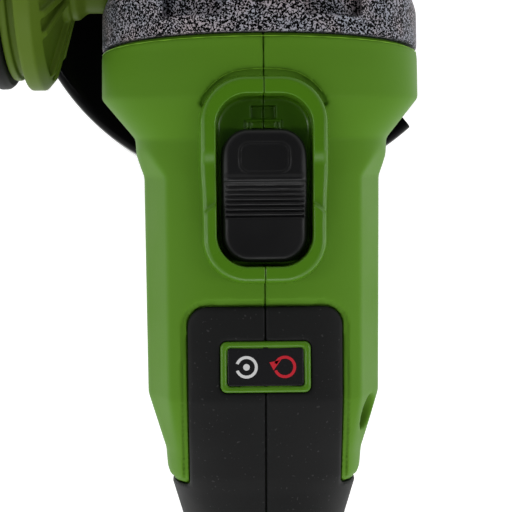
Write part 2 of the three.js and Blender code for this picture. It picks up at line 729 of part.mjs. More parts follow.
function addBattery() {
  const feet = join(packBody(REST_Z, REST_Z + 2, 1.5), packBody(REST_Z + 2, PACK_SEAM_Z - GAP, 0));
  const buttonHole = block(-BUTTON.width / 2 - GAP, BUTTON.width / 2 + GAP, -330, -310, 16.6, 27.4);
  const wallBehind = block(-14, 14, PACK.rear + 6.5, PACK.rear + 8, 0, PACK_SEAM_Z - GAP);
  const lower = cut(feet, packBody(1, 60, 2.5));
  add("battery_case", cut(join(lower, wallBehind), buttonHole), BLACK);
  const cover = cut(
    packBody(PACK_SEAM_Z, PACK_TOP_Z, 0),
    packBody(PACK_SEAM_Z - 1, PACK_TOP_Z - WALL, 2.5),
  );
  const slots = TERMINAL.x.map((x) => block(x - 1.4, x + 1.4, -240, -220, 43, 60));
  add("battery_cover", cut(join(cover, rail(0, RAIL.rear)), ...slots), BLACK);
  for (let i = 0; i < 5; i++) {
    const y = PACK.rear + 20 + i * (2 * CELL_R + 0.3);
    const cell = barX(CELL_R, y, 13, -CELL_LENGTH / 2, CELL_LENGTH / 2, 20);
    add(`cell_${i + 1}`, cell, CELL_WRAP);
  }
  add("battery_board", block(-28, 28, -300, -222, 28, 29.6), BOARD);
  const { width, z0, z1 } = BUTTON;
  const face = block(-width / 2, width / 2, PACK.rear, PACK.rear + 2.4, z0, z1);
  const grooves = [19, 22, 25].map((z) => block(-8, 8, -320, PACK.rear + 0.6, z - 0.6, z + 0.6));
  add("battery_button", cut(face, ...grooves), GREEN);
  add("battery_button_spring", ring(barY, 2.4, 3.4, 0, 22, PACK.rear + 2.7, PACK.rear + 6.2), STEEL);
}

// ---- side handle ----
function addHandle() {
  const core = turnedHandle(
    [
      [4.4, HANDLE_BOSS_X + GAP],
      [HANDLE_NECK_R, HANDLE_BOSS_X + GAP],
      [HANDLE_NECK_R, 45.6],
      [11.5, 46.2],
      [11.5, 50.4],
      [13, 50.8],
      [25, 57.6],
      [29.5, 57.6],
      [29.5, 61.6],
      [27, 62],
      [26, 64.4],
      [27.5, 64.6],
      [27.5, 66],
      [11, 66],
      [11, 168],
      [0, 168],
      [0, 78],
      [4.4, 78],
      [4.4, HANDLE_BOSS_X + GAP],
    ],
  );
  add("handle_core", core, GREEN);
  const sleeve = turnedHandle(
    [
      [11.3, 66.3],
      [28.2, 66.3],
      [29, 68.5],
      [27, 72],
      [19.5, 77],
      [17, 84],
      [17.6, 100],
      [18.6, 120],
      [18, 140],
      [16.6, 158],
      [17.4, 170],
      [19.6, 176],
      [18.4, 181],
      [13, 184],
      [0, 185],
      [0, 168.3],
      [11.3, 168.3],
      [11.3, 66.3],
    ],
  );
  add("handle_sleeve", sleeve, SOFT);
  const stud = barX(4, HANDLE_Y, MOTOR_Z, -77, -31, 20);
  add("handle_stud", stud, STEEL);
}

// ---- badge ----
function addBadge() {
  const plate = { width: BADGE.width - 3, corner: 0.8 };
  plate.front = BADGE.y + BADGE.length / 2 - 1.5;
  plate.rear = BADGE.y - BADGE.length / 2 + 1.5;
  const top = MOTOR_Z + 33;
  add("badge_plate", roundedBlock(plate, top + 0.35, top + 0.95), BLACK);
}

addHousing();
addOvermould();
addBadge();
addHousingScrews();
addGearHousing();
addFrontScrews();
addBearingCover();
addSpindle();
addFlangeAndNut();
addCrownWheel();
addPinion();
addMotor();
addLockButton();
addGuard();
addGuardLever();
addSwitch();
addElectronics();
addTerminals();
addBattery();
addHandle();

export default grinder;
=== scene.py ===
"""Looks of the cordless angle grinder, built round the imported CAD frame.

Moulded and cast pieces are distance fields meshed finely, turned pieces are revolved profiles.
Lengths in this script are millimetres in the CAD frame: +Z up to the switch side, +Y forward to
the gear head, the spindle axis at X = Y = 0. They become metres when a mesh is made.
"""

import functools
import json
import math

import bmesh
import bpy
import numpy as np
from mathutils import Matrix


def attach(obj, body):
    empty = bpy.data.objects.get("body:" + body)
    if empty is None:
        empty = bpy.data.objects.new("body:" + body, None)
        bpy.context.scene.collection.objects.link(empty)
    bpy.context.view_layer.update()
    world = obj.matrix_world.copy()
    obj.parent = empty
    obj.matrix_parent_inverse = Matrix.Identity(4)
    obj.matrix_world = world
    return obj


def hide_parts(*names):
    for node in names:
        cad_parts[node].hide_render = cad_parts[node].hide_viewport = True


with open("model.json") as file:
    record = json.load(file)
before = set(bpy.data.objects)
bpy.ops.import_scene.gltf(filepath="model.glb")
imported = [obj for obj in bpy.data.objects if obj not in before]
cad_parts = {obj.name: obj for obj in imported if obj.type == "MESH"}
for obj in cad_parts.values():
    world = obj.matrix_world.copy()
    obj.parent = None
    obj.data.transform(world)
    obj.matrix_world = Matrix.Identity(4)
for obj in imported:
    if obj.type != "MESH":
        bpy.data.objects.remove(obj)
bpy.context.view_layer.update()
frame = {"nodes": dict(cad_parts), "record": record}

import openvdb
from mathutils import Matrix, Vector

MM = 0.001

# ---- driving sizes
MOTOR_Z = 70.0
SEAM = 0.055  # half the gap between the housing halves
WALL = 3.0
SKIN = 1.6  # thickness of the overmould

BODY_ROWS = [  # y, half width, height above and below the motor axis, squareness, corner cut
    (-36.6, 41.15, 37.0, 30.9, 2.05, 60.0),
    (-37.4, 41.3, 37.1, 31.1, 2.05, 60.0),
    (-42.0, 41.3, 37.6, 32.0, 2.1, 60.0),
    (-48.0, 41.3, 38.0, 33.0, 2.15, 60.0),
    (-58.2, 32.5, 33.7, 34.0, 2.9, 36.2),
    (-62.3, 32.2, 33.6, 34.0, 3.1, 34.8),
    (-68.0, 30.1, 33.7, 34.0, 3.6, 32.8),
    (-80.0, 30.0, 34.0, 34.0, 3.6, 32.8),
    (-123.5, 29.6, 33.0, 33.0, 3.6, 32.3),
    (-138.0, 25.3, 30.0, 28.5, 3.2, 28.8),
    (-143.0, 25.0, 29.0, 27.0, 3.0, 28.0),
    (-147.0, 23.6, 28.0, 25.5, 2.8, 27.2),
    (-157.0, 20.7, 26.0, 23.0, 2.6, 60.0),
    (-185.0, 21.0, 25.0, 22.0, 2.4, 60.0),
    (-210.0, 22.5, 25.0, 23.0, 2.5, 60.0),
    (-219.0, 27.5, 25.2, 28.4, 3.0, 60.0),
    (-228.0, 32.8, 25.4, 34.0, 3.4, 60.0),
    (-242.0, 36.0, 25.0, 34.0, 3.6, 60.0),
    (-300.0, 36.5, 22.0, 34.0, 4.0, 60.0),
    (-315.0, 34.5, 19.0, 34.0, 4.0, 60.0),
]
HEAD_ROWS = [
    (38.4, 14.0, 26.0, 36.0, 2.3),
    (36.0, 20.0, 30.5, 40.0, 2.5),
    (28.0, 27.0, 34.6, 42.0, 2.8),
    (15.0, 32.0, 36.6, 42.0, 3.0),
    (0.0, 35.0, 37.2, 42.0, 3.0),
    (-21.5, 38.2, 37.5, 42.0, 2.8),
    (-26.0, 41.1, 37.6, 40.0, 2.1),
    (-36.0, 41.2, 37.2, 31.0, 2.05),
]
CORNER_NORMAL = (0.927, 0.376)  # slope of the long facet that cuts the upper corners

BEZEL_OUTER = (14.8, -95.2, -46.4, 10.8)  # half width, rear, front, corner radius
BEZEL_INNER = (11.25, -91.0, -50.65, 7.4)
BEZEL_TOP = 109.5
LEDGE = (16.3, -90.0, -44.5, 13.1)  # shallow step round the front of the bezel
RECESS_FLOOR = 101.0
SLIDER = (10.1, -90.1, -58.5, 6.3)

PANEL = (18.7, -210.0, -100.8, 4.9)  # overmould on the top
BADGE_OUTER = (10.85, -121.45, -109.15, 1.6)
BADGE_INNER = (9.3, -120.0, -110.6, 0.9)
BADGE_FLOOR = 100.6
PRINT_Z, PRINT_THICK = 103.2, 0.06
BODY_LEAN = 0.076

GEAR_FLOOR = 40.3
GEAR_FRONT = 38.4
HANDLE_Y = -15.3
BOSS_X = 38.4
LOCK_Y = 14.0
RIVET = (14.272, 26.842)  # of the guard lever
GUARD_SWEEP = (131.4, 311.4)  # degrees

HOUSING_REAR = -315.0
MOTOR_MOUTH = -60.0
SKIN_REAR = -222.0
FOOT_Y, FOOT_Z = -212.0, 42.0  # front edge and underside of the foot that the battery slides on
HEEL_WALL = 2.6
TERMINALS = (-19, 19, -224, -212, 43, 55.5)  # x, y and z of the socket block
BLADES = (-13.0, 0.0, 13.0)
PACK = (38.0, -318.0, -200.0, 8.0)
RAIL_FRONT = -225.0
RAIL_X, RAIL_WING_X = 20.0, 25.0
RAIL_WING_Z, RAIL_Z = 46.0, 50.0

SCREW_POCKETS = (  # y, z, radius and how far their floors are from the middle
    (-128.0, 89.5, 4.3, 17.0),
    (-127.6, 52.0, 4.0, 17.0),
    (-213.0, 62.0, 3.6, 12.0),
)
HOUSING_SCREWS = ((19, -128, 89.2), (19, -127.6, 52), (14, -213, 62))
HEAD_SCREWS = ((-17, -18.5, 100), (17, -18.5, 100), (-27, -28.0, 47), (27, -28.0, 47))
COVER_SCREWS = ((-19.0, 22.6), (19.0, 22.6), (-26.7, -12.5), (26.7, -12.5))


# ---- distance fields
class Space:
    """A box of sample points, and the fields that are worked out on it."""

    def __init__(self, low, high, step):
        self.low, self.step = np.array(low, float), step
        axes = [np.arange(a, b + step, step, dtype=np.float32) for a, b in zip(low, high)]
        self.x, self.y, self.z = np.meshgrid(*axes, indexing="ij", sparse=True)

    def box(self, x0, x1, y0, y1, z0, z1, r=0.0):
        ax = np.abs(self.x - (x0 + x1) / 2) - (x1 - x0) / 2 + r
        ay = np.abs(self.y - (y0 + y1) / 2) - (y1 - y0) / 2 + r
        az = np.abs(self.z - (z0 + z1) / 2) - (z1 - z0) / 2 + r
        outside = np.sqrt(np.maximum(ax, 0) ** 2 + np.maximum(ay, 0) ** 2 + np.maximum(az, 0) ** 2)
        return outside + np.minimum(np.maximum(ax, np.maximum(ay, az)), 0) - r

    def plate(self, outline, grow=0.0):
        """Distance in the XY plane from a rectangle with round corners."""
        half, rear, front, corner = outline
        r = corner + grow
        ax = np.abs(self.x) - (half + grow) + r
        ay = np.abs(self.y - (rear + front) / 2) - (front - rear) / 2 - grow + r
        outside = np.sqrt(np.maximum(ax, 0) ** 2 + np.maximum(ay, 0) ** 2)
        return outside + np.minimum(np.maximum(ax, ay), 0) - r

    def rod_x(self, y, z, r):
        return np.sqrt((self.y - y) ** 2 + (self.z - z) ** 2) - r

    def rod_y(self, x, z, r):
        return np.sqrt((self.x - x) ** 2 + (self.z - z) ** 2) - r

    def rod_z(self, x, y, r):
        return np.sqrt((self.x - x) ** 2 + (self.y - y) ** 2) - r

    def loft(self, rows, blur=0.4, lean=0.0):
        """A body of superelliptic sections along Y, with open ends.

        `lean` slopes the sections of the front flare: the higher, the further back.
        """
        table = np.array(rows[::-1] if rows[0][0] > rows[-1][0] else rows)
        fine = np.arange(table[0, 0] - 6, table[-1, 0] + 6, 0.25)
        kernel = np.exp(-0.5 * (np.arange(-12, 13) * 0.25 / blur) ** 2)
        kernel /= kernel.sum()
        at = self.y
        if lean:
            fade = np.clip((self.y + 80) / 14, 0, 1)
            at = self.y + lean * fade * np.maximum(self.z - MOTOR_Z, 0)
        columns = []
        for k in range(1, table.shape[1]):
            line = np.interp(fine, table[:, 0], table[:, k])
            line = np.convolve(np.pad(line, 12, mode="edge"), kernel, mode="valid")
            columns.append(np.interp(at, fine, line).astype(np.float32))
        w, up, down, n = columns[:4]
        dz = self.z - MOTOR_Z
        h = np.where(dz > 0, up, down)
        s = (np.abs(self.x) / w) ** n + (np.abs(dz) / h) ** n
        f = (s ** (1 / n) - 1) * np.minimum(w, h)
        if len(columns) > 4:
            corner = CORNER_NORMAL[0] * np.abs(self.x) + CORNER_NORMAL[1] * dz
            f = smax(f, corner - columns[4], 0.5)
        return f


def slab(values, low, high):
    """The layer where a field's values are between two numbers."""
    return np.abs(values - (low + high) / 2) - (high - low) / 2


def both(*fields):
    """What lies inside all the fields, with sharp edges."""
    return functools.reduce(np.maximum, fields)


def either(*fields):
    """What lies inside any of the fields."""
    return functools.reduce(np.minimum, fields)


def smax(a, b, r):
    """The larger of two fields, with the edge between them rounded to about radius r."""
    h = np.maximum(r - np.abs(a - b), 0) / r
    return np.maximum(a, b) + h * h * r * 0.25


def smin(a, b, r):
    return -smax(-a, -b, r)


def cut(a, b, r=0.3):
    return smax(a, -b, r)


def linked(name, data):
    """A new object in the scene."""
    made = bpy.data.objects.new(name, data)
    bpy.context.scene.collection.objects.link(made)
    return made


def mesh_object(name, points, faces):
    """A smooth-shaded mesh object from points in millimetres and arrays of corner numbers."""
    mesh = bpy.data.meshes.new(name)
    faces = [np.asarray(f, dtype=np.int32) for f in faces if len(f)]
    corners = np.concatenate([f.ravel() for f in faces])
    totals = np.concatenate([np.full(len(f), f.shape[1], dtype=np.int32) for f in faces])
    mesh.vertices.add(len(points))
    mesh.vertices.foreach_set("co", (np.asarray(points, np.float64) * MM).ravel())
    mesh.loops.add(len(corners))
    mesh.loops.foreach_set("vertex_index", corners)
    mesh.polygons.add(len(totals))
    starts = np.concatenate([[0], np.cumsum(totals)[:-1]])
    mesh.polygons.foreach_set("loop_start", starts.astype(np.int32))
    mesh.update(calc_edges=True)
    mesh.validate()
    mesh.polygons.foreach_set("use_smooth", [True] * len(mesh.polygons))
    return linked(name, mesh)


def grid_quads(rows, columns, ring=False):
    """Quads over a grid of points whose columns close up, and with `ring` its rows too."""
    i, j = np.indices((rows if ring else rows - 1, columns)).reshape(2, -1)
    i2, j2 = (i + 1) % rows, (j + 1) % columns
    return np.stack([i * columns + j, i2 * columns + j, i2 * columns + j2, i * columns + j2], 1)


def meshed(name, space, field):
    """The zero surface of a field, as a mesh object."""
    shape = np.broadcast_shapes(space.x.shape, space.y.shape, space.z.shape)
    field = np.broadcast_to(field, shape)
    band = 3 * space.step
    values = np.pad(np.clip(field, -band, band).astype(np.float32), 2, constant_values=band)
    grid = openvdb.FloatGrid(band)
    grid.copyFromArray(values)
    points, _, quads = grid.convertToPolygons(isovalue=0.0, adaptivity=0.0)
    points = (np.asarray(points) - 2) * space.step + space.low
    return mesh_object(name, points, [np.asarray(quads)[:, ::-1]])


def finish(piece, body, slot, *nodes, look=None):
    """Paints a piece as its slot, or as `look`, and rides it on a body in place of CAD nodes."""
    piece.data.materials.append(MATERIALS[look or slot])
    if nodes:
        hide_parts(*nodes)
    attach(piece, body)


# ---- materials
def material(name, color, roughness, metallic=0.0, specular=0.5):
    """A principled material, its node tree and its shader."""
    made = bpy.data.materials.new(name)
    made.use_nodes = True
    shader = made.node_tree.nodes["Principled BSDF"]
    shader.inputs["Base Color"].default_value = (*color, 1)
    shader.inputs["Roughness"].default_value = roughness
    shader.inputs["Metallic"].default_value = metallic
    shader.inputs["Specular IOR Level"].default_value = specular
    return made, made.node_tree, shader


def node(tree, kind, **inputs):
    made = tree.nodes.new(kind)
    for key, value in inputs.items():
        made.inputs[key.replace("_", " ")].default_value = value
    return made


def feed(tree, node_fed, **outputs):
    """Links node outputs to the sockets of a shader or another node."""
    for key, output in outputs.items():
        tree.links.new(output, node_fed.inputs[key.replace("_", " ")])


def noise(tree, scale, detail=2.0, roughness=0.5, distortion=0.0):
    """Noise over the object, `scale` cells to the metre."""
    made = node(tree, "ShaderNodeTexNoise", Scale=scale, Detail=detail, Roughness=roughness)
    made.inputs["Distortion"].default_value = distortion
    feed(tree, made, Vector=tree.nodes.new("ShaderNodeTexCoord").outputs["Object"])
    return made.outputs["Fac"]


def ramp(tree, value, stops):
    """A colour from a number, by (position, colour) stops."""
    made = tree.nodes.new("ShaderNodeValToRGB")
    elements = made.color_ramp.elements
    while len(elements) < len(stops):
        elements.new(0.5)
    for element, (at, color) in zip(elements, stops):
        element.position = at
        element.color = (*color, 1)
    feed(tree, made, Fac=value)
    return made.outputs["Color"]


def grey_range(tree, value, low, high, from_low=0.3, from_high=0.7):
    made = node(tree, "ShaderNodeMapRange", From_Min=from_low, From_Max=from_high)
    made.inputs["To Min"].default_value, made.inputs["To Max"].default_value = low, high
    feed(tree, made, Value=value)
    return made.outputs["Result"]


def bump(tree, shader, height, strength, distance):
    made = node(tree, "ShaderNodeBump", Strength=strength, Distance=distance)
    feed(tree, made, Height=height)
    feed(tree, shader, Normal=made.outputs["Normal"])


def moulded(name, dark, light, roughness, grain=1500.0, depth=0.00006, specular=0.2):
    """Moulded plastic: a fine spark-eroded grain and slow changes of tone and gloss."""
    made, tree, shader = material(name, dark, roughness, specular=specular)
    tone = ramp(tree, noise(tree, 14.0, 3.0), [(0.3, dark), (0.7, light)])
    gloss = grey_range(tree, noise(tree, 45.0, 4.0), roughness - 0.05, roughness + 0.06)
    feed(tree, shader, Base_Color=tone, Roughness=gloss)
    bump(tree, shader, noise(tree, grain, 2.0, 0.6), 0.35, depth)
    return made


def soft_black():
    """Overmould: a mat skin with a few specks of dust caught in its grain."""
    rubber, dust = (0.0058, 0.0061, 0.0061), (0.025, 0.025, 0.025)
    made, tree, shader = material("soft_black", rubber, 0.6, specular=0.15)
    specks = ramp(tree, noise(tree, 1500.0, 0.0), [(0.0, rubber), (0.78, rubber), (0.82, dust)])
    gloss = grey_range(tree, noise(tree, 60.0, 4.0), 0.52, 0.68)
    feed(tree, shader, Base_Color=specks, Roughness=gloss)
    bump(tree, shader, noise(tree, 2400.0, 2.0, 0.6), 0.4, 0.00005)
    return made


def hammered_paint():
    """Vein paint: a silver film, lilac to rosy, crazed by short black worms."""
    made, tree, shader = material("hammered_paint", (0.1, 0.095, 0.11), 0.42, specular=0.02)
    worms = noise(tree, 2050.0, 1.0, 0.5, 0.7)
    lilac, rosy = (0.3, 0.31, 0.36), (0.37, 0.325, 0.345)
    film = ramp(tree, noise(tree, 130.0, 2.0), [(0.35, lilac), (0.65, rosy)])
    mix = node(tree, "ShaderNodeMixRGB", Color1=(0.003, 0.003, 0.0035, 1))
    feed(tree, mix, Fac=grey_range(tree, worms, 0.0, 1.0, 0.532, 0.552), Color2=film)
    gloss = grey_range(tree, worms, 0.28, 0.5, 0.4, 0.6)
    feed(tree, shader, Base_Color=mix.outputs["Color"], Roughness=gloss)
    bump(tree, shader, worms, 0.4, 0.0001)
    return made


def gloss_black():
    """Powder coat on the guard, deep and glossy with a faint orange peel."""
    made, tree, shader = material("guard_paint", (0.0012, 0.0012, 0.0014), 0.14, specular=0.08)
    feed(tree, shader, Roughness=grey_range(tree, noise(tree, 40.0, 5.0, 0.6), 0.1, 0.22))
    bump(tree, shader, noise(tree, 350.0, 2.0), 0.12, 0.0001)
    return made


def machined(name, color, roughness, grain):
    """Turned or rolled metal with fine scratches and a change of gloss."""
    made, tree, shader = material(name, color, roughness, metallic=1.0)
    gloss = grey_range(tree, noise(tree, grain, 6.0, 0.7), roughness - 0.1, roughness + 0.12)
    light = tuple(min(1.0, c * 1.25) for c in color)
    tone = ramp(tree, noise(tree, 30.0, 5.0), [(0.35, color), (0.65, light)])
    feed(tree, shader, Base_Color=tone, Roughness=gloss)
    bump(tree, shader, noise(tree, 1500.0, 3.0, 0.7), 0.15, 0.00006)
    return made


def spotted(name, base, spot, scale, roughness):
    """A board or wrap with small darker or lighter marks."""
    made, tree, shader = material(name, base, roughness)
    tone = ramp(tree, noise(tree, scale, 3.0), [(0.45, base), (0.6, spot)])
    gloss = grey_range(tree, noise(tree, 90.0, 3.0), roughness - 0.06, roughness + 0.08)
    feed(tree, shader, Base_Color=tone, Roughness=gloss)
    bump(tree, shader, noise(tree, scale * 4, 2.0), 0.2, 0.0001)
    return made


PLASTICS = {  # dark and light tone, roughness, and what differs from the usual grain and gloss
    "green_plastic": ((0.081, 0.195, 0.014), (0.091, 0.218, 0.018), 0.42, dict(specular=0.03)),
    "handle_green": ((0.076, 0.126, 0.011), (0.088, 0.144, 0.015), 0.42, dict(specular=0.08)),
    "polished_green": (
        (0.058, 0.162, 0.0053), (0.065, 0.18, 0.007), 0.28, dict(depth=0.00003, specular=0.3)
    ),
    # flash: real fins of plastic, but their lighter green is a painted highlight along the edges
    "flash_green_painted_highlight": ((0.15, 0.34, 0.02), (0.2, 0.42, 0.035), 0.4, dict(specular=0.1)),
    "badge": (
        (0.009, 0.009, 0.01), (0.012, 0.012, 0.013), 0.25, dict(grain=900.0, depth=0.00003)
    ),
    "black_plastic": (
        (0.0036, 0.0036, 0.004), (0.006, 0.006, 0.0065), 0.38, dict(grain=2200.0, specular=0.28)
    ),
}
METALS = {  # colour, roughness and grain
    "cast_aluminium": ((0.42, 0.43, 0.44), 0.4, 400.0),
    "steel": ((0.5, 0.5, 0.49), 0.28, 240.0),
    "dark_steel": ((0.055, 0.055, 0.06), 0.38, 240.0),
    "copper": ((0.45, 0.2, 0.09), 0.35, 240.0),
}
SPOTTED = {  # colour, colour of the marks, their size and roughness
    "circuit_board": ((0.01, 0.07, 0.02), (0.02, 0.12, 0.04), 300.0, 0.4),
    "cell_wrap": ((0.015, 0.07, 0.16), (0.025, 0.1, 0.21), 60.0, 0.3),
}
INKS = {"print_white": (0.62, 0.62, 0.62), "print_red": (0.5, 0.012, 0.025)}
MATERIALS = {
    "soft_black": soft_black(),
    "hammered_paint": hammered_paint(),
    "guard_paint": gloss_black(),
    **{name: moulded(name, *look, **more) for name, (*look, more) in PLASTICS.items()},
    **{name: machined(name, *look) for name, look in METALS.items()},
    **{name: spotted(name, *look) for name, look in SPOTTED.items()},
    **{name: material(name, color, 0.4)[0] for name, color in INKS.items()},
}


def paint_frame():
    """Every CAD node that stays visible takes the material of its slot."""
    slots = {part["node"]: part["material_slot"] for part in frame["record"]["subparts"]}
    for name, shown in frame["nodes"].items():
        shown.data.materials.clear()
        shown.data.materials.append(MATERIALS[slots[name]])


# ---- motor housing and overmould
def halves(name, space, right, left):
    """Both halves of a moulding, from two fields for x >= 0; the left one is mirrored."""
    for side, field in (("right", right), ("left", left)):
        piece = meshed(f"{name}_{side}", space, smax(field, SEAM - space.x, 0.15))
        if side == "left":
            piece.data.transform(Matrix.Scale(-1, 4, (1, 0, 0)))
            piece.data.flip_normals()
        yield side, piece


def skin_region(space, grow):
    """The part of the body that the overmould covers, widened by `grow`."""
    panel = both(space.plate(PANEL, grow), MOTOR_Z + 10 - space.z)
    edge = -146.8 + 0.06 * (space.z - MOTOR_Z)
    wrap = both(space.y - edge - grow, SKIN_REAR - grow - space.y)
    region = smin(panel, wrap, 1.0)
    heel = both(space.y - FOOT_Y - 0.5, space.z - 57.5)
    region = both(region, -heel - grow)
    return cut(region, space.plate(BADGE_OUTER, -grow), 0.4)


def bezel(space):
    """The raised ring round the switch, lower at the sides where the thumb lies."""
    front = np.clip((-63.5 - space.y) / 4.0, 0, 1)
    rear = np.clip((space.rod_z(0, -94.1, 21.2) + 0.4) / 0.8, 0, 1)
    thumb = 1.3 * front * front * (3 - 2 * front) * rear * rear * (3 - 2 * rear)
    outline = space.plate(BEZEL_OUTER) - 0.25 * np.tanh((space.y + 72) / 4)
    ring = smax(outline + 0.12 * (space.z - 107), space.z - BEZEL_TOP + thumb, 1.2)
    return both(ring, 98.6 - space.z)


def recess(space):
    """What is cut out for the switch: the well, the slot and a blind window in its floor."""
    well = smax(space.plate(BEZEL_INNER) - 0.02 * (space.z - 101), RECESS_FLOOR - space.z, 1.1)
    slot = space.box(-4.6, 4.6, -84, -58, 90, 120)
    window = space.box(-3, 3, -55.7, -52.6, RECESS_FLOOR - 1.8, 120, 0.2)
    return smin(smin(well, slot, 0.2), window, 0.2)


def recess_rails(space):
    """Low ribs on the floor of the recess: a guide each side of the slot, closed in front."""
    low, high = 100.0, RECESS_FLOOR + 0.4
    made = space.box(-4.4, 4.4, -56.5, -55.95, low, high, 0.15)
    for x in (-4.1, 4.1, -3.1, 3.1):
        made = either(made, space.box(x - 0.25, x + 0.25, -59.8, -56.1, low, high, 0.15))
    return made


def build_switch_surround():
    """Bezel and recess, meshed more finely than the housing that they stand in."""
    space = Space((-0.6, -97.5, 97.5), (16.6, -44, 111), 0.26)
    field = smin(cut(bezel(space), recess(space), 0.35), recess_rails(space), 0.15)
    for side, piece in halves("switch_surround", space, field, field):
        finish(piece, "grinder", "green_plastic", look="polished_green")


def screw_pockets(space):
    """The wells of the three housing screws, in the right half."""
    return either(*(both(space.rod_x(y, z, r), floor - space.x) for y, z, r, floor in SCREW_POCKETS))


def vents(space):
    """Three slots in each side of the foot, for cooling air."""
    return either(*(space.box(20, 60, y - 1.5, y + 1.5, 62, 76, 1.4) for y in (-282, -272, -262)))


def rail_slot(space):
    """The slot for the battery's rail, with 0.5 mm of play."""
    stem, wing, front = RAIL_X + 0.5, RAIL_WING_X + 0.5, RAIL_FRONT + 0.5
    low, top = RAIL_WING_Z - 0.5, RAIL_Z + 0.5
    slot = space.box(-stem, stem, -400, front, 30, top)
    return either(slot, space.box(-wing, wing, -400, front, low, top))


def housing_shell():
    """The half of the green housing at x >= 0, without its screw pockets."""
    space = Space((-1.0, -317, 33), (43.5, -33, 112), 0.5)
    body = space.loft(BODY_ROWS, lean=BODY_LEAN)
    front = BODY_ROWS[0][0]
    outer = smax(smax(body, space.y - front, 0.4), HOUSING_REAR - space.y, 3.0)
    shell = cut(outer, both(space.y - FOOT_Y, space.z - FOOT_Z), 2.0)
    lip = both(body + 1.3, slab(space.y, -39.7, -35.7))  # goes into the gear head
    shell = either(shell, lip)
    ledge = smax(space.plate(LEDGE), -53.3 - space.y, 1.6)
    shell = cut(shell, smax(ledge, -(outer + 1.0), 0.5), 0.15)
    hollow = both(body + WALL + SKIN, space.z - RECESS_FLOOR + 3.2)
    hollow = both(hollow, HOUSING_REAR + 3.5 - space.y)
    hollow = both(hollow, -both(space.y - SKIN_REAR, space.z - RAIL_Z - 3.5))  # the foot's floor
    mouth = both(space.rod_y(0, MOTOR_Z, 30), MOTOR_MOUTH - space.y)
    shell = cut(shell, either(hollow, mouth))
    shell = cut(shell, space.plate(BEZEL_OUTER, -0.8), 0.2)
    shell = cut(shell, rail_slot(space))
    shell = cut(shell, both(skin_region(space, 0.25), -(outer + SKIN + 0.2)), 0.3)
    shell = cut(shell, both(skin_region(space, 1.35), -(outer + 0.55)), 0.3)
    shell = cut(shell, both(space.plate(BADGE_INNER, -0.6), BADGE_FLOOR - space.z))
    socket = space.box(-20, 20, -226, FOOT_Y + 0.5, 30, 56.3)
    shell = cut(shell, both(socket, body + HEEL_WALL), 0.5)
    return space, cut(shell, vents(space), 0.5)


def build_housing():
    space, shell = housing_shell()
    with_pockets = cut(shell, screw_pockets(space), 0.5)
    for side, piece in halves("shell", space, with_pockets, shell):
        finish(piece, "grinder", "green_plastic", "housing_" + side)


def build_overmould():
    """The soft skin on both halves of the grip, with screw pockets in the right one."""
    space = Space((-1.0, -224, 40), (28.5, -99, 107), 0.5)
    outer = space.loft(BODY_ROWS, lean=BODY_LEAN)
    skin = smax(both(outer - 0.15, -(outer + SKIN)), skin_region(space, 0.0), 0.8)
    with_pockets = cut(skin, screw_pockets(space), 0.4)
    for side, piece in halves("skin", space, with_pockets, skin):
        finish(piece, "grinder", "soft_black", "grip_" + side)


# ---- switch and badge
def build_slider():
    """The slide switch: a pad in front, a lip, seven grooves stepping down and a plain rear."""
    space = Space((-10.8, -91, 97), (10.8, -57.6, 111.4), 0.2)
    line = [  # y and height of the top along the middle
        (-91, 108.2), (-80.2, 108.7), (-79.4, 108.7), (-71.3, 109.6), (-70.9, 110.3),
        (-70.3, 110.4), (-69.3, 110.0), (-66.0, 109.8), (-58.0, 109.2),
    ]
    ys, zs = np.array(line).T
    top = np.interp(space.y, ys, zs).astype(np.float32) - 0.25 * (space.x / 9.6) ** 2
    body = smax(space.plate(SLIDER) + 0.05 * (space.z - 104), space.z - top, 1.6)
    body = smax(body, 101.7 - space.z, 0.3)
    for i in range(7):
        y = -72.1 - i * 1.2
        groove = space.box(-9.2, 9.2, y - 0.22, y + 0.22, 90, 120, 0.1)
        body = cut(body, both(groove, top - 0.3 - 0.07 * i - space.z), 0.3)
    rim = np.abs(space.plate((5.8, -69.0, -62.1, 2.2))) - 0.2
    body = smin(body, both(rim, np.abs(space.z - top) - 0.1), 0.25)
    stem = space.box(-4.2, 4.2, -83, -67.5, 98, 103, 0.3)
    piece = meshed("slide_switch_cap", space, either(body, stem))
    finish(piece, "switch_body", "black_plastic", "switch_slider")


def build_badge():
    """Green frame with a black plate, which takes the pictogram."""
    space = Space((-12.5, -123, 99), (12.5, -107.5, 105), 0.25)
    frame_field = both(space.plate(BADGE_OUTER), -space.plate(BADGE_INNER))
    frame_field = smax(frame_field, slab(space.z, 100.75, 103.65), 0.8)
    piece = meshed("badge_frame", space, frame_field)
    finish(piece, "grinder", "green_plastic", look="polished_green")
    plate = smax(space.plate(BADGE_INNER, -0.05), slab(space.z, 100.8, 103.2), 0.2)
    piece = meshed("badge_label", space, plate)
    finish(piece, "grinder", "badge", "badge_plate")


def flat_print(name, look, outline):
    """A thin printed shape on the badge, from a closed outline of (x, y) points."""
    count = len(outline)
    points = [(x, y, z) for z in (PRINT_Z, PRINT_Z + PRINT_THICK) for x, y in outline]
    mesh = bpy.data.meshes.new(name)
    sides = [(i, (i + 1) % count, (i + 1) % count + count, i + count) for i in range(count)]
    caps = [tuple(range(count))[::-1], tuple(range(count, 2 * count))]
    mesh.from_pydata([tuple(c * MM for c in p) for p in points], [], sides + caps)
    finish(linked(name, mesh), "grinder", "badge", look=look)


def arc_points(cx, cy, r, a0, a1, count):
    """Points on an arc, from one angle to another in degrees."""
    angles = np.radians(np.linspace(a0, a1, count))
    return [(cx + r * math.cos(a), cy + r * math.sin(a)) for a in angles]


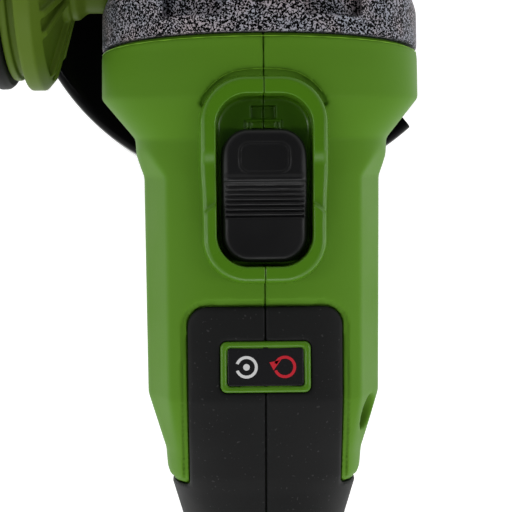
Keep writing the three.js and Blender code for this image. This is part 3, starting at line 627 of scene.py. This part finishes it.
def build_pictogram():
    """A white disc with its hub, and a red turning arrow, each as a broken ring."""
    disc_x, turn_x, y = -4.6, 4.6, -115.3
    for name, look, x in (("disc", "print_white", disc_x), ("turn", "print_red", turn_x)):
        ring = arc_points(x, y, 2.7, 200, 520, 40) + arc_points(x, y, 2.0, 520, 200, 40)
        flat_print("pictogram_" + name, look, ring)
    [(tip_x, tip_y)] = arc_points(turn_x, y, 2.35, 160, 160, 1)
    corners = ((-1.5, 0.3), (1.3, 0.9), (-0.5, -1.6))
    flat_print("pictogram_head", "print_red", [(tip_x + dx, tip_y + dy) for dx, dy in corners])
    flat_print("pictogram_hub", "print_white", arc_points(disc_x, y, 0.8, 0, 345, 20))


# ---- gear head
def build_gear_housing():
    """The cast head with handle bosses, screw pockets, and the bores and cavity inside."""
    space = Space((-44, -38, 38), (44, 40, 110), 0.5)
    outer = space.loft(HEAD_ROWS, blur=0.9)
    outer = smax(outer, space.y - GEAR_FRONT, 6.0)
    outer = smax(outer, GEAR_FLOOR - space.z, 1.0)
    bosses = both(space.rod_x(HANDLE_Y, MOTOR_Z, 12), np.abs(space.x) - BOSS_X)
    outer = smin(outer, bosses, 0.6)
    spot_faces = both(space.rod_x(HANDLE_Y, MOTOR_Z, 10.3), BOSS_X - np.abs(space.x))
    outer = cut(outer, spot_faces, 0.4)
    outer = smax(outer, -35.6 - space.y, 0.4)
    skin = outer
    for side in (-1, 1):  # a pocket for a screw on top, and a notch under it
        x0, x1 = sorted((9.8 * side, 23.8 * side))
        shallow = space.box(x0, x1, -31.3, -8, 90, 130, 1.0)
        bead = smax(np.abs(shallow - 0.3) - 0.8, skin - 0.45, 0.4)
        outer = smin(outer, both(bead, 95 - space.z), 0.6)
        outer = cut(outer, both(shallow, -(skin + 2.5)), 0.7)
        outer = cut(outer, space.box(x0, x1, -21, -8, 96, 130, 1.5), 0.8)
        x0, x1 = sorted((21 * side, 60 * side))
        outer = cut(outer, space.box(x0, x1, -31, -21, 20, 52, 1.0), 1.2)
    cavity = both(space.rod_z(0, 0, 26.5), space.z - 84)
    seat = both(space.rod_z(0, 0, 8.3), space.z - 96.5)
    motor = both(space.rod_y(0, MOTOR_Z, 13.3), space.y + 20)
    lock = both(space.rod_z(0, LOCK_Y, 8.2), 98.6 - space.z)
    pin_hole = both(space.rod_z(0, LOCK_Y, 2.8), 80 - space.z)
    spring_hole = both(space.rod_z(0, LOCK_Y, 5.4), 92 - space.z)
    studs = both(space.rod_x(HANDLE_Y, MOTOR_Z, 4.3), 30 - np.abs(space.x))
    for hollow in (cavity, seat, motor, lock, pin_hole, spring_hole, studs):
        outer = cut(outer, hollow, 0.6)
    piece = meshed("gear_case", space, outer)
    finish(piece, "grinder", "hammered_paint", "gear_housing")


# ---- turned pieces
def revolved(name, profile, a0=0.0, a1=360.0, steps=96, axis="z", centre=(0, 0, 0)):
    """A profile of (radius, height) points turned about Z upwards, or about X towards -X."""
    full = abs(a1 - a0 - 360) < 1e-6
    angles = np.radians(np.linspace(a0, a1, steps + 1)[: steps if full else steps + 1])
    profile = np.array(profile, float)
    r, h = profile[:, 0], profile[:, 1]
    cos, sin = np.cos(angles)[:, None], np.sin(angles)[:, None]
    u, v, w = r * cos, r * sin, np.broadcast_to(h, (len(angles), len(h)))
    order = {"z": (u, v, w), "x": (-w, u, -v)}[axis]
    points = np.stack(order, axis=-1).reshape(-1, 3) + np.array(centre, float)
    count, rings = len(profile), len(angles)
    mesh = bpy.data.meshes.new(name)
    faces = grid_quads(rings, count, full).tolist()
    if not full:
        faces.append(tuple(range(count))[::-1])
        faces.append(tuple((rings - 1) * count + k for k in range(count)))
    mesh.from_pydata((points * MM).tolist(), [], faces)
    clean_mesh(mesh)
    return linked(name, mesh)


def clean_mesh(mesh, sharp=35.0):
    """Merges what meets, faces everything outwards and shades it smooth between sharp edges."""
    work = bmesh.new()
    work.from_mesh(mesh)
    bmesh.ops.remove_doubles(work, verts=work.verts, dist=1e-7)
    bmesh.ops.dissolve_degenerate(work, edges=work.edges, dist=1e-7)
    bmesh.ops.recalc_face_normals(work, faces=work.faces)
    for face in work.faces:
        face.smooth = True
    for edge in work.edges:
        if len(edge.link_faces) == 2 and edge.calc_face_angle(0) > math.radians(sharp):
            edge.smooth = False
    work.to_mesh(mesh)
    work.free()


def join_pieces(first, *others):
    """Adds the meshes of the other pieces to the first one and removes them."""
    work = bmesh.new()
    for piece in (first, *others):
        work.from_mesh(piece.data)
    work.to_mesh(first.data)
    work.free()
    for piece in others:
        bpy.data.objects.remove(piece)


def rounded(profile, radius=0.5, steps=4, closed=True):
    """The profile with each corner rounded off by an arc."""
    points = [np.array(p, float) for p in profile]
    count = len(points)
    made = []
    for i, corner in enumerate(points):
        if not closed and i in (0, count - 1):
            made.append(tuple(corner))
            continue
        before, after = points[i - 1] - corner, points[(i + 1) % count] - corner
        lengths = np.linalg.norm(before), np.linalg.norm(after)
        reach = min(radius, 0.45 * lengths[0], 0.45 * lengths[1])
        start, end = corner + before / lengths[0] * reach, corner + after / lengths[1] * reach
        for k in range(steps + 1):
            t = k / steps
            made.append(tuple((1 - t) ** 2 * start + 2 * t * (1 - t) * corner + t * t * end))
    return made


def build_guard():
    """The pressed guard: flat top, rolled shoulder, rim with a rolled edge, and the clamp band."""
    cup = [
        (65.6, 27.0), (67.1, 26.3), (67.5, 24.6), (67.5, 0.4), (64.6, 0.2), (64.5, -1.6),
        (66.0, -2.0), (68.8, -2.0), (69.5, -1.2), (69.5, 25.4), (69.2, 27.4), (68.2, 28.6),
        (66.4, 29.0), (33.0, 29.0), (33.0, 27.0),
    ]
    plate = revolved("guard_cup", rounded(cup, 1.2), *GUARD_SWEEP, steps=160)
    hub = [(23.4, 27.0), (33.6, 27.0), (33.6, 29.0), (26.4, 29.0), (26.4, 36.7), (23.4, 36.7)]
    centre = revolved("guard_hub", rounded(hub, 0.5), steps=96)
    post = [(0.01, 28.5), (1.2, 28.5), (1.2, 35.2), (2.4, 35.5), (2.2, 36.3), (0.01, 36.6)]
    post = rounded(post, 0.2, 2, closed=False)
    rivet = revolved("guard_rivet", post, steps=32, centre=(*RIVET, 0))
    join_pieces(plate, centre, rivet)
    finish(plate, "guard_body", "guard_paint", "guard")


def about_handle(name, profile):
    """A profile of (radius, distance from the spindle) points, turned about the handle's axis."""
    return revolved(name, profile, steps=144, axis="x", centre=(0, HANDLE_Y, MOTOR_Z))


def build_handle_core():
    """Green core with a neck, a collar, a flange with seven pocketed sectors, and a stem."""
    space = Space((-66, -47, 39), (-38, 17, 101), 0.4)
    radius = space.rod_x(HANDLE_Y, MOTOR_Z, 0)
    angle = np.arctan2(space.z - MOTOR_Z, space.y - HANDLE_Y)
    along = -space.x

    def disc(r, start, end, edge):
        return smax(radius - r, slab(along, start, end), edge)

    face = both(48.9 + (radius - 11.7) * 0.3, 53.2 + (radius - 26) * 0.88)
    flange = smax(smax(radius - 29.8, along - 60.5, 0.9), face - along, 0.3)
    collar = smax(disc(11.45, 45.2, 52, 0.3), radius - 9.7 - (along - 45.2) * 0.8, 0.3)
    core = smin(collar, flange, 0.4)
    core = smin(core, disc(9.7, 38.75, 47, 0.5), 0.6)
    core = either(core, disc(25.8, 60, 64, 0.3), disc(27.2, 62.6, 64.7, 0.7))
    pitch = 2 * math.pi / 7
    turned = np.mod(angle - math.radians(127.5) + pitch / 2, pitch) - pitch / 2
    rib = np.abs(np.abs(turned) - math.radians(6)) * radius - 1.0
    pocket = smax(-rib, np.abs(radius - 19.6) - 7.2, 0.8)
    core = cut(core, smax(pocket, along - face - 1.8, 0.5), 0.6)
    core = cut(core, radius - 4.4, 0.4)
    piece = meshed("handle_flange", space, core)
    stem = [(4.4, 64.5), (10.8, 64.5), (10.8, 150.0), (4.4, 150.0)]
    join_pieces(piece, about_handle("handle_stem", stem))
    finish(piece, "grinder", "green_plastic", "handle_core", look="handle_green")


def build_handle_sleeve():
    """The soft sleeve: a skirt by the flange, twelve grooves and a knob at the end."""
    base = [(11.2, 65.0), (28.4, 65.0), (29.4, 66.2)]
    side = [
        (29.5, 68.2), (28.2, 70.8), (23.0, 74.0), (19.4, 77.4), (17.6, 82.0), (17.1, 90.0),
        (17.4, 100.0), (18.3, 112.0), (18.7, 124.0), (18.2, 140.0), (17.0, 154.0), (16.6, 160.0),
        (17.2, 168.0), (19.0, 174.0), (19.5, 178.0), (18.6, 181.6),
    ]
    end = [(15.0, 184.2), (9.0, 184.9), (0.01, 185.0), (0.01, 168.4), (11.2, 168.4)]
    radii, heights = np.array(side).T
    groove = ((0.0, -0.9), (0.8, -0.4), (0.8, 0.4), (0.0, 0.9))  # depth, and place along the handle
    for k in range(12):
        middle = 88.0 + 6.0 * k
        r = np.interp(middle, heights, radii)
        side += [(r - depth, middle + shift) for depth, shift in groove]
    outline = base + sorted(side, key=lambda point: point[1]) + end
    piece = about_handle("handle_grip", rounded(outline, 0.5, 3))
    finish(piece, "grinder", "soft_black", "handle_sleeve")


# ---- flash on moulded edges, painted lighter than the housing as a highlight
def body_top(x, y):
    """Height of the housing's upper surface over the points (x, y)."""
    table = np.array(BODY_ROWS[::-1])
    z = np.full_like(x, MOTOR_Z + 36.0)
    for _ in range(4):
        at = y + BODY_LEAN * np.clip((y + 80) / 14, 0, 1) * (z - MOTOR_Z)
        w, up, n = (np.interp(at, table[:, 0], table[:, k]) for k in (1, 2, 4))
        z = MOTOR_Z + up * (1 - (np.abs(x) / w) ** n) ** (1 / n)
    return z


def tube(name, points, radii, sides):
    """A closed tube along a line of points, with `sides` faces round it."""
    points = np.array(points, float)
    ahead = np.gradient(points, axis=0)
    ahead /= np.linalg.norm(ahead, axis=1, keepdims=True)
    side = np.cross(ahead, (0, 1, 0) if abs(ahead[0][1]) < 0.9 else (0, 0, 1))
    side /= np.linalg.norm(side, axis=1, keepdims=True)
    other = np.cross(ahead, side)
    turns = 2 * np.pi * np.arange(sides) / sides
    rings = [points + radii[:, None] * (np.cos(t) * side + np.sin(t) * other) for t in turns]
    first = np.arange(sides)
    ends = [first[None, :], (first + (len(points) - 1) * sides)[None, ::-1]]
    faces = [grid_quads(len(points), sides), *ends]
    piece = mesh_object(name, np.stack(rings, 1).reshape(-1, 3), faces)
    clean_mesh(piece.data, 50)
    return piece


def edge_flash_painted_highlight(name, points, thickness):
    """A thin, uneven line of flash, as a mould leaves along its parting edges; its lighter green is
    a painted highlight along the edge.
    """
    t = np.arange(len(points))
    size = thickness * (0.75 + 0.35 * np.sin(t * 0.37) * np.sin(t * 0.113 + 1.3))
    # the lighter green of the flash paints the highlight that the edge catches
    finish(tube(name, points, size, 4), "grinder", "green_plastic", look="flash_green_painted_highlight")


def build_flash_painted_highlight():
    """Flash round the housing's front edge and along the step in front of the bezel, painted lighter
    as the highlight on these edges.
    """
    y = BODY_ROWS[0][0]
    w, up, _, n = BODY_ROWS[0][1:5]
    angles = np.radians(np.linspace(4, 176, 360))
    c, s = np.cos(angles), np.sin(angles)
    x = (w - 0.1) * np.sign(c) * np.abs(c) ** (2 / n)
    z = MOTOR_Z + (up - 0.1) * s ** (2 / n)
    edge_flash_painted_highlight("flash_front_painted_highlight", np.stack([x, np.full_like(x, y - 0.12), z], 1), 0.13)
    half, _, front, corner = LEDGE
    angles = np.radians(np.linspace(36, 144, 200))
    x = corner * np.cos(angles)
    x += np.sign(x) * (half - corner) * np.minimum(1, np.abs(x) / 4)
    y = front - corner + corner * np.sin(angles)
    edge_flash_painted_highlight("flash_ledge_painted_highlight", np.stack([x, y, body_top(x, y) - 0.03], 1), 0.07)


# ---- battery
def build_pack_case():
    """The lower case, with ribbed sides, screw wells and the hole for the release button."""
    space = Space((-38.6, -318.6, -2.6), (38.6, -199.4, 30.4), 0.6)
    case = smax(space.plate(PACK), slab(space.z, -2, 29.7), 2.4)
    side = both(space.box(-60, 60, -292, -226, 5, 24, 3.0), 37.1 - np.abs(space.x))
    ribs = np.abs(np.mod(space.y + 292, 5.0) - 2.5) - 1.1
    ribs = both(ribs, slab(space.y, -291, -265), 36.0 - np.abs(space.x))
    case = cut(case, side, 0.6)
    case = smin(case, both(ribs, side, np.abs(space.x) - 37.8), 0.5)
    case = cut(case, both(space.plate((27.0, -292.0, -228.0, 3.0)), space.z + 1.4), 0.4)
    for x in (-29, 29):
        for y in (-211, -307):
            case = cut(case, both(space.rod_z(x, y, 3.2), space.z - 3), 0.5)
    case = cut(case, space.box(-13, 13, -340, -317.1, 14.5, 40, 2.0), 1.0)
    case = cut(case, space.box(-10.3, 10.3, -330, -310, 16.6, 27.4, 0.6), 0.3)
    case = cut(case, both(space.plate(PACK, -3.2), 6 - space.z), 0.5)
    finish(meshed("pack_case", space, case), "battery", "black_plastic", "battery_case")


def build_pack_cover():
    """The cover, with the slide rail and its slots for the blades."""
    space = Space((-38.6, -318.6, 29.4), (38.6, -199.4, 50.8), 0.6)
    cover = smax(space.plate(PACK), slab(space.z, 30, 41.7), 2.2)
    cover = cut(cover, both(space.plate(PACK, -2.5), space.z - 38.7), 0.4)
    stem = space.box(-RAIL_X, RAIL_X, -312, RAIL_FRONT, 40, RAIL_Z, 0.7)
    wings = space.box(-RAIL_WING_X, RAIL_WING_X, -312, RAIL_FRONT, RAIL_WING_Z, RAIL_Z, 0.8)
    cover = smin(cover, either(stem, wings), 0.5)
    for x in BLADES:
        cover = cut(cover, space.box(x - 1.4, x + 1.4, -240, -220, 43, 60), 0.3)
    for y in (-302, -294, -286):
        cover = cut(cover, space.box(-12, 12, y - 1.2, y + 1.2, 49.2, 60, 0.5), 0.3)
    for x in (-32, 32):
        cover = cut(cover, both(space.rod_z(x, -212, 2.6), 39.8 - space.z), 0.3)
    finish(meshed("pack_cover", space, cover), "battery", "black_plastic", "battery_cover")


def build_release_button():
    """The button in the rear of the battery, hollow behind for its spring."""
    space = Space((-10.5, -318.4, 16.5), (10.5, -315, 27.5), 0.25)
    button = space.box(-10, 10, -318, -315.6, 17, 27, 0.8)
    for z in (19.0, 22.0, 25.0):
        button = cut(button, space.box(-8, 8, -330, -317.5, z - 0.6, z + 0.6, 0.3), 0.4)
    button = cut(button, both(space.rod_y(0, 22, 3.8), -317.15 - space.y), 0.2)
    piece = meshed("release_button", space, button)
    finish(piece, "battery_button_body", "green_plastic", "battery_button")


def build_terminals():
    """The socket block inside the heel of the foot, and its three blades."""
    space = Space((-19.5, -224.6, 42.4), (19.5, -211.4, 56), 0.35)
    body = smax(space.box(*TERMINALS, 0.8), space.loft(BODY_ROWS) + HEEL_WALL + 0.5, 0.5)
    for x in (-6.5, 6.5):
        body = cut(body, space.box(x - 1, x + 1, -230, -222.8, 40, 60, 0.3), 0.3)
    for x in (-15, -9, 9, 15):
        body = cut(body, space.box(x - 1.5, x + 1.5, -213, -200, 49.5, 54, 0.4), 0.3)
    piece = meshed("terminal_block", space, body)
    finish(piece, "grinder", "black_plastic", "battery_terminals")
    for i, x in enumerate(BLADES):
        space = Space((x - 0.9, -236.4, 43.6), (x + 0.9, -222, 49.4), 0.2)
        blade = space.box(x - 0.45, x + 0.45, -236, -222.5, 44, 49, 0.3)
        blade = cut(blade, space.rod_x(-226.5, 46.5, 0.9), 0.2)
        piece = meshed(f"terminal_blade_{i + 1}", space, blade)
        finish(piece, "grinder", "steel", look="copper")


# ---- spindle and what it carries
def threaded(name, radius, pitch, depth, z0, z1):
    """A threaded rod along Z, closed at both ends, with a chamfer at the lower one."""
    rows, steps = int((z1 - z0) / pitch * 10), 72
    z = np.linspace(z0, z1, rows)
    turn = np.arange(steps) / steps
    phase = np.mod(z[:, None] / pitch - turn[None, :], 1.0)
    groove = np.clip(1.25 - np.abs(phase - 0.5) * 4.0, 0, 1)
    r = np.minimum(radius - depth * groove, radius - 1.6 + (z[:, None] - z0) * 1.2)
    points = np.stack([r * np.cos(2 * np.pi * turn), r * np.sin(2 * np.pi * turn),
                       np.broadcast_to(z[:, None], r.shape)], axis=-1).reshape(-1, 3)
    centres = len(points)
    points = np.concatenate([points, [[0, 0, z0 + 1.2], [0, 0, z1]]])
    j = np.arange(steps)
    k = (j + 1) % steps
    last = (rows - 1) * steps
    lower = np.stack([j, k, np.full(steps, centres)], 1)
    upper = np.stack([last + k, last + j, np.full(steps, centres + 1)], 1)
    piece = mesh_object(name, points, [grid_quads(rows, steps), lower, upper])
    clean_mesh(piece.data, 60)
    return piece


def build_spindle():
    """The stepped spindle, with a thread at its lower end."""
    shaft = [
        (0.01, 16.2), (6.2, 16.2), (7, 17), (7, 25), (8, 25), (8, 53.6), (6, 53.6), (6, 67),
        (5, 67), (5, 95), (0.01, 95),
    ]
    piece = revolved("spindle_shaft", rounded(shaft, 0.3, 2, closed=False), steps=72)
    join_pieces(piece, threaded("spindle_thread", 7.0, 2.0, 0.9, 0.0, 16.6))
    finish(piece, "spindle_unit", "steel", "spindle")


def build_disc_flange():
    """The flange on the spindle's shoulder, hollow below, that the disc lies on."""
    flange = [
        (7.2, 16.6), (11, 16.6), (11, 18), (18, 18), (18, 16.6), (21, 16.6), (21, 20.8),
        (20.2, 21.6), (13, 24.0), (12, 24.4), (7.2, 24.4),
    ]
    piece = revolved("disc_flange", rounded(flange, 0.35, 3), steps=120)
    finish(piece, "spindle_unit", "steel", "inner_flange")


def build_lock_nut():
    """The knurled nut with four holes for a pin spanner."""
    space = Space((-20.6, -20.6, 7.4), (20.6, 20.6, 15), 0.3)
    radius = space.rod_z(0, 0, 0)
    knurl = 0.25 * np.cos(48 * np.arctan2(space.y, space.x))
    nut = smax(radius - 19.7 + knurl, slab(space.z, 8, 14.4), 0.6)
    nut = smax(nut, (radius - 14.2) * 0.35 - (space.z - 8.2), 0.4)
    nut = cut(nut, radius - 7.2, 0.5)
    nut = cut(nut, both(radius - 11.5, 13.4 - space.z), 0.3)
    for x, y in ((15, 0), (-15, 0), (0, 15), (0, -15)):
        nut = cut(nut, space.rod_z(x, y, 2.5), 0.4)
    finish(meshed("clamp_nut", space, nut), "spindle_unit", "dark_steel", "lock_nut")


def build_bearing_cover():
    """The casting under the head, whose collar with twelve notches carries the guard."""
    space = Space((-33.6, -33.6, 25.4), (33.6, 33.6, 53.6), 0.5)
    radius = space.rod_z(0, 0, 0)
    collar = smax(radius - 23, slab(space.z, 26, 40), 0.8)
    band = smax(22.1 - radius, slab(space.z, 31.2, 33.6), 0.3)
    collar = cut(collar, both(band, radius - 25), 0.3)
    cover = smin(collar, smax(radius - 33, slab(space.z, 37.2, 40), 0.6), 0.8)
    cover = either(cover, smax(radius - 20, slab(space.z, 39, 53), 0.5))
    cover = cut(cover, radius - 12, 0.6)
    cover = cut(cover, both(radius - 16.4, 42.6 - space.z), 0.4)
    for k in range(12):
        a = math.radians(15 + 30 * k)
        notch = space.rod_z(23.6 * math.cos(a), 23.6 * math.sin(a), 1.3)
        cover = cut(cover, both(notch, space.z - 30.5), 0.3)
    for x, y in COVER_SCREWS:
        cover = cut(cover, space.rod_z(x, y, 1.9), 0.3)
        cover = cut(cover, both(space.rod_z(x, y, 3.2), space.z - 38.7), 0.3)
    piece = meshed("cover_casting", space, cover)
    finish(piece, "grinder", "cast_aluminium", "bearing_cover")


# ---- screws
def screw(node_name, at, outward, length, head_r, head_h):
    """A screw with a six-lobe recess; `at` is the middle of its head's face."""
    side = head_r + 0.4
    space = Space((-side, -side, -length - 0.4), (side, side, 0.4), 0.2)
    radius = space.rod_z(0, 0, 0)
    head = smax(radius - head_r, slab(space.z, -head_h, 0), 0.8)
    twist = np.arctan2(space.y, space.x) + 2 * np.pi * space.z / 1.3
    shank = smax(radius - 1.5 - 0.12 * np.cos(twist), -length - space.z, 0.6)
    field = either(head, both(shank, space.z + head_h - 0.3))
    lobes = radius - 1.35 - 0.28 * np.cos(6 * np.arctan2(space.y, space.x))
    field = cut(field, both(lobes, -1.5 - space.z), 0.15)
    piece = meshed(node_name.replace("screw", "fastener"), space, field)
    turn = Vector((0, 0, 1)).rotation_difference(Vector(outward)).to_matrix().to_4x4()
    piece.data.transform(Matrix.Translation(Vector(at) * MM) @ turn)
    finish(piece, "grinder", "dark_steel", node_name)


def build_screws():
    for i, at in enumerate(HEAD_SCREWS):
        screw(f"head_screw_{i + 1}", at, (0, 1, 0), at[1] + 47, 3.4, 2.3)
    for i, (x, y) in enumerate(COVER_SCREWS):
        screw(f"cover_screw_{i + 1}", (x, y, 37.3), (0, 0, -1), 12.7, 2.7, 1.1)
    for i, at in enumerate(HOUSING_SCREWS):
        screw(f"housing_screw_{i + 1}", at, (1, 0, 0), at[0] + 14, 3.0, 2.2)


# ---- lock button and guard lever
def build_lock_button():
    """A knurled cap with rings on a pin, hollow below for its spring."""
    space = Space((-8.2, 5.8, 102.8), (8.2, 22.2, 111), 0.25)
    radius = space.rod_z(0, LOCK_Y, 0)
    knurl = 0.14 * np.cos(32 * np.arctan2(space.y - LOCK_Y, space.x))
    dish = 0.012 * (radius - 1) ** 2
    cap = smax(radius - 7.45 + knurl, slab(space.z, 103.5, 110.3), 0.8)
    cap = cut(cap, both(109.4 + dish - space.z, radius - 6.4), 0.4)
    rings = np.abs(np.mod(radius, 2.0) - 1.0) - 0.28
    cap = smin(cap, both(rings, np.abs(space.z - 109.5 - dish) - 0.2), 0.3)
    cap = both(cap, slab(space.z, 103.3, 110.5))
    cap = cut(cap, both(radius - 5.4, space.z - 107.5), 0.3)  # room for the spring
    piece = meshed("lock_cap", space, cap)
    pin = [(0.01, 62.0), (1.8, 62.0), (2.3, 62.5), (2.3, 107.8), (0.01, 107.8)]
    join_pieces(piece, revolved("lock_pin", pin, steps=32, centre=(0, LOCK_Y, 0)))
    finish(piece, "lock_button_body", "black_plastic", "lock_button")


def build_guard_lever():
    """Curved clamp lever with an eye round its rivet and a ribbed finger tab."""
    space = Space((10, 3, 29.4), (34.6, 31.4, 36), 0.3)
    radius = space.rod_z(0, 0, 0)
    angle = np.degrees(np.arctan2(space.y, space.x))
    reach = np.abs(angle - 34) - 24
    bar = smax(np.abs(radius - 29.3) - 2.1, reach * 0.5, 1.5)
    tab = smax(np.abs(radius - 30.2) - 3.0, (np.abs(angle - 15) - 6) * 0.5, 1.5)
    for k in range(4):
        tab = cut(tab, (np.abs(angle - 11.5 - 2.4 * k) - 0.55) * 0.5 + 0.9 * (radius < 31.8), 0.3)
    eye = space.rod_z(*RIVET, 3.4)
    lever = smin(smin(bar, tab, 0.8), eye, 1.5)
    lever = smax(lever, slab(space.z, 30, 35.4), 0.9)
    lever = cut(lever, space.rod_z(*RIVET, 1.6), 0.4)
    piece = meshed("clamp_lever", space, lever)
    finish(piece, "guard_lever_body", "dark_steel", "guard_lever")


# ---- springs
def coil(node_name, axis, centre, start, end, radius, wire, turns, body="grinder"):
    """A wound spring along Y or Z, with its end turns lying nearly flat."""
    t = np.linspace(0, turns, int(turns * 28))
    along = np.clip((t - 0.9) / (turns - 1.8), 0, 1)
    h = start + wire + (end - start - 2 * wire) * along
    h -= 0.18 * wire * np.maximum(1 - t / 0.9, 0)
    u, v = radius * np.cos(2 * np.pi * t), radius * np.sin(2 * np.pi * t)
    order = {"z": (u, v, h), "y": (v, h, u)}[axis]
    piece = tube(node_name.replace("spring", "coil"), np.stack(order, 1) + np.array(centre, float),
                 np.full(len(t), wire), 10)
    finish(piece, body, "steel", node_name)


def build_springs():
    coil("lock_button_spring", "z", (0, LOCK_Y, 0), 92.6, 103.0, 3.95, 0.55, 6)
    coil("battery_button_spring", "y", (0, 0, 22), -314.3, -311.9, 2.9, 0.3, 4, "battery")


# ---- studio
CAMERA_AT = (-9.0, -82.9, 410.0)
CAMERA_LOOK = (-1.35, -89.3, 70.0)
CAMERA_ROLL = -0.5  # degrees
FOCAL = 90.3
FLOOR_Z = -2.2


def build_camera():
    """The photograph's view: from above the switch, a little behind it."""
    data = bpy.data.cameras.new("camera")
    data.lens, data.sensor_width = FOCAL, 36.0
    data.clip_start, data.clip_end = 0.01, 20
    back = (Vector(CAMERA_AT) - Vector(CAMERA_LOOK)).normalized()
    right = Vector((0, 1, 0)).cross(back).normalized()
    up = back.cross(right)
    turn = Matrix((right, up, back)).transposed().to_4x4()
    roll = Matrix.Rotation(math.radians(CAMERA_ROLL), 4, "Z")
    made = linked("camera", data)
    made.matrix_world = Matrix.Translation(Vector(CAMERA_AT) * MM) @ turn @ roll
    bpy.context.scene.camera = made


def area_light(name, at, towards, size, power):
    data = bpy.data.lights.new(name, "AREA")
    data.shape, data.size, data.size_y, data.energy = "RECTANGLE", size[0], size[1], power
    made = linked(name, data)
    made.location = at
    made.rotation_euler = (Vector(towards) - Vector(at)).to_track_quat("-Z", "Y").to_euler()


def build_studio():
    """White walls under a dark ceiling, two strips, a softbox and a pale floor."""
    scene = bpy.context.scene
    world = bpy.data.worlds.new("studio")
    world.use_nodes = True
    tree = world.node_tree
    direction = tree.nodes.new("ShaderNodeSeparateXYZ")
    feed(tree, direction, Vector=tree.nodes.new("ShaderNodeTexCoord").outputs["Generated"])
    white, dark = (1.0, 1.0, 1.0), (0.04, 0.04, 0.04)
    stops = [(0.0, white), (0.45, white), (0.9, dark), (1.0, dark)]
    walls = ramp(tree, direction.outputs["Z"], stops)
    brighter_behind = grey_range(tree, direction.outputs["Y"], 1.22, 0.9, -1.0, 1.0)
    feed(tree, tree.nodes["Background"], Color=walls, Strength=brighter_behind)
    scene.world = world
    scene.view_settings.view_transform = "Standard"
    for name, x in (("left_strip", -1.0), ("right_strip", 1.0)):
        area_light(name, (x, -0.15, 0.9), (0, -0.1, 0.05), (0.08, 1.0), 3)
    area_light("rear_softbox", (0, -1.6, 1.08), (0, -0.1, 0.08), (1.6, 0.5), 10)
    floor = bpy.data.meshes.new("floor")
    corners = [(x, y, FLOOR_Z * MM) for x, y in ((-3, -3), (3, -3), (3, 3), (-3, 3))]
    floor.from_pydata(corners, [], [(0, 1, 2, 3)])
    shown = linked("floor", floor)
    paint, tree, shader = material("floor_paint", (0.93, 0.93, 0.93), 0.9)
    tone = ramp(tree, noise(tree, 2.0, 2.0), [(0.3, (0.92, 0.92, 0.92)), (0.7, (0.94, 0.94, 0.94))])
    feed(tree, shader, Base_Color=tone)
    shader.inputs["Emission Color"].default_value = (1, 1, 1, 1)
    shader.inputs["Emission Strength"].default_value = 0.62
    shown.data.materials.append(paint)


for build in (
    build_camera, build_studio, paint_frame, build_housing, build_overmould,
    build_switch_surround, build_slider, build_badge, build_pictogram, build_gear_housing,
    build_guard, build_handle_core, build_handle_sleeve, build_flash_painted_highlight, build_pack_case,
    build_pack_cover, build_release_button, build_terminals, build_spindle, build_disc_flange,
    build_lock_nut, build_bearing_cover, build_screws, build_lock_button, build_guard_lever,
    build_springs,
):
    build()
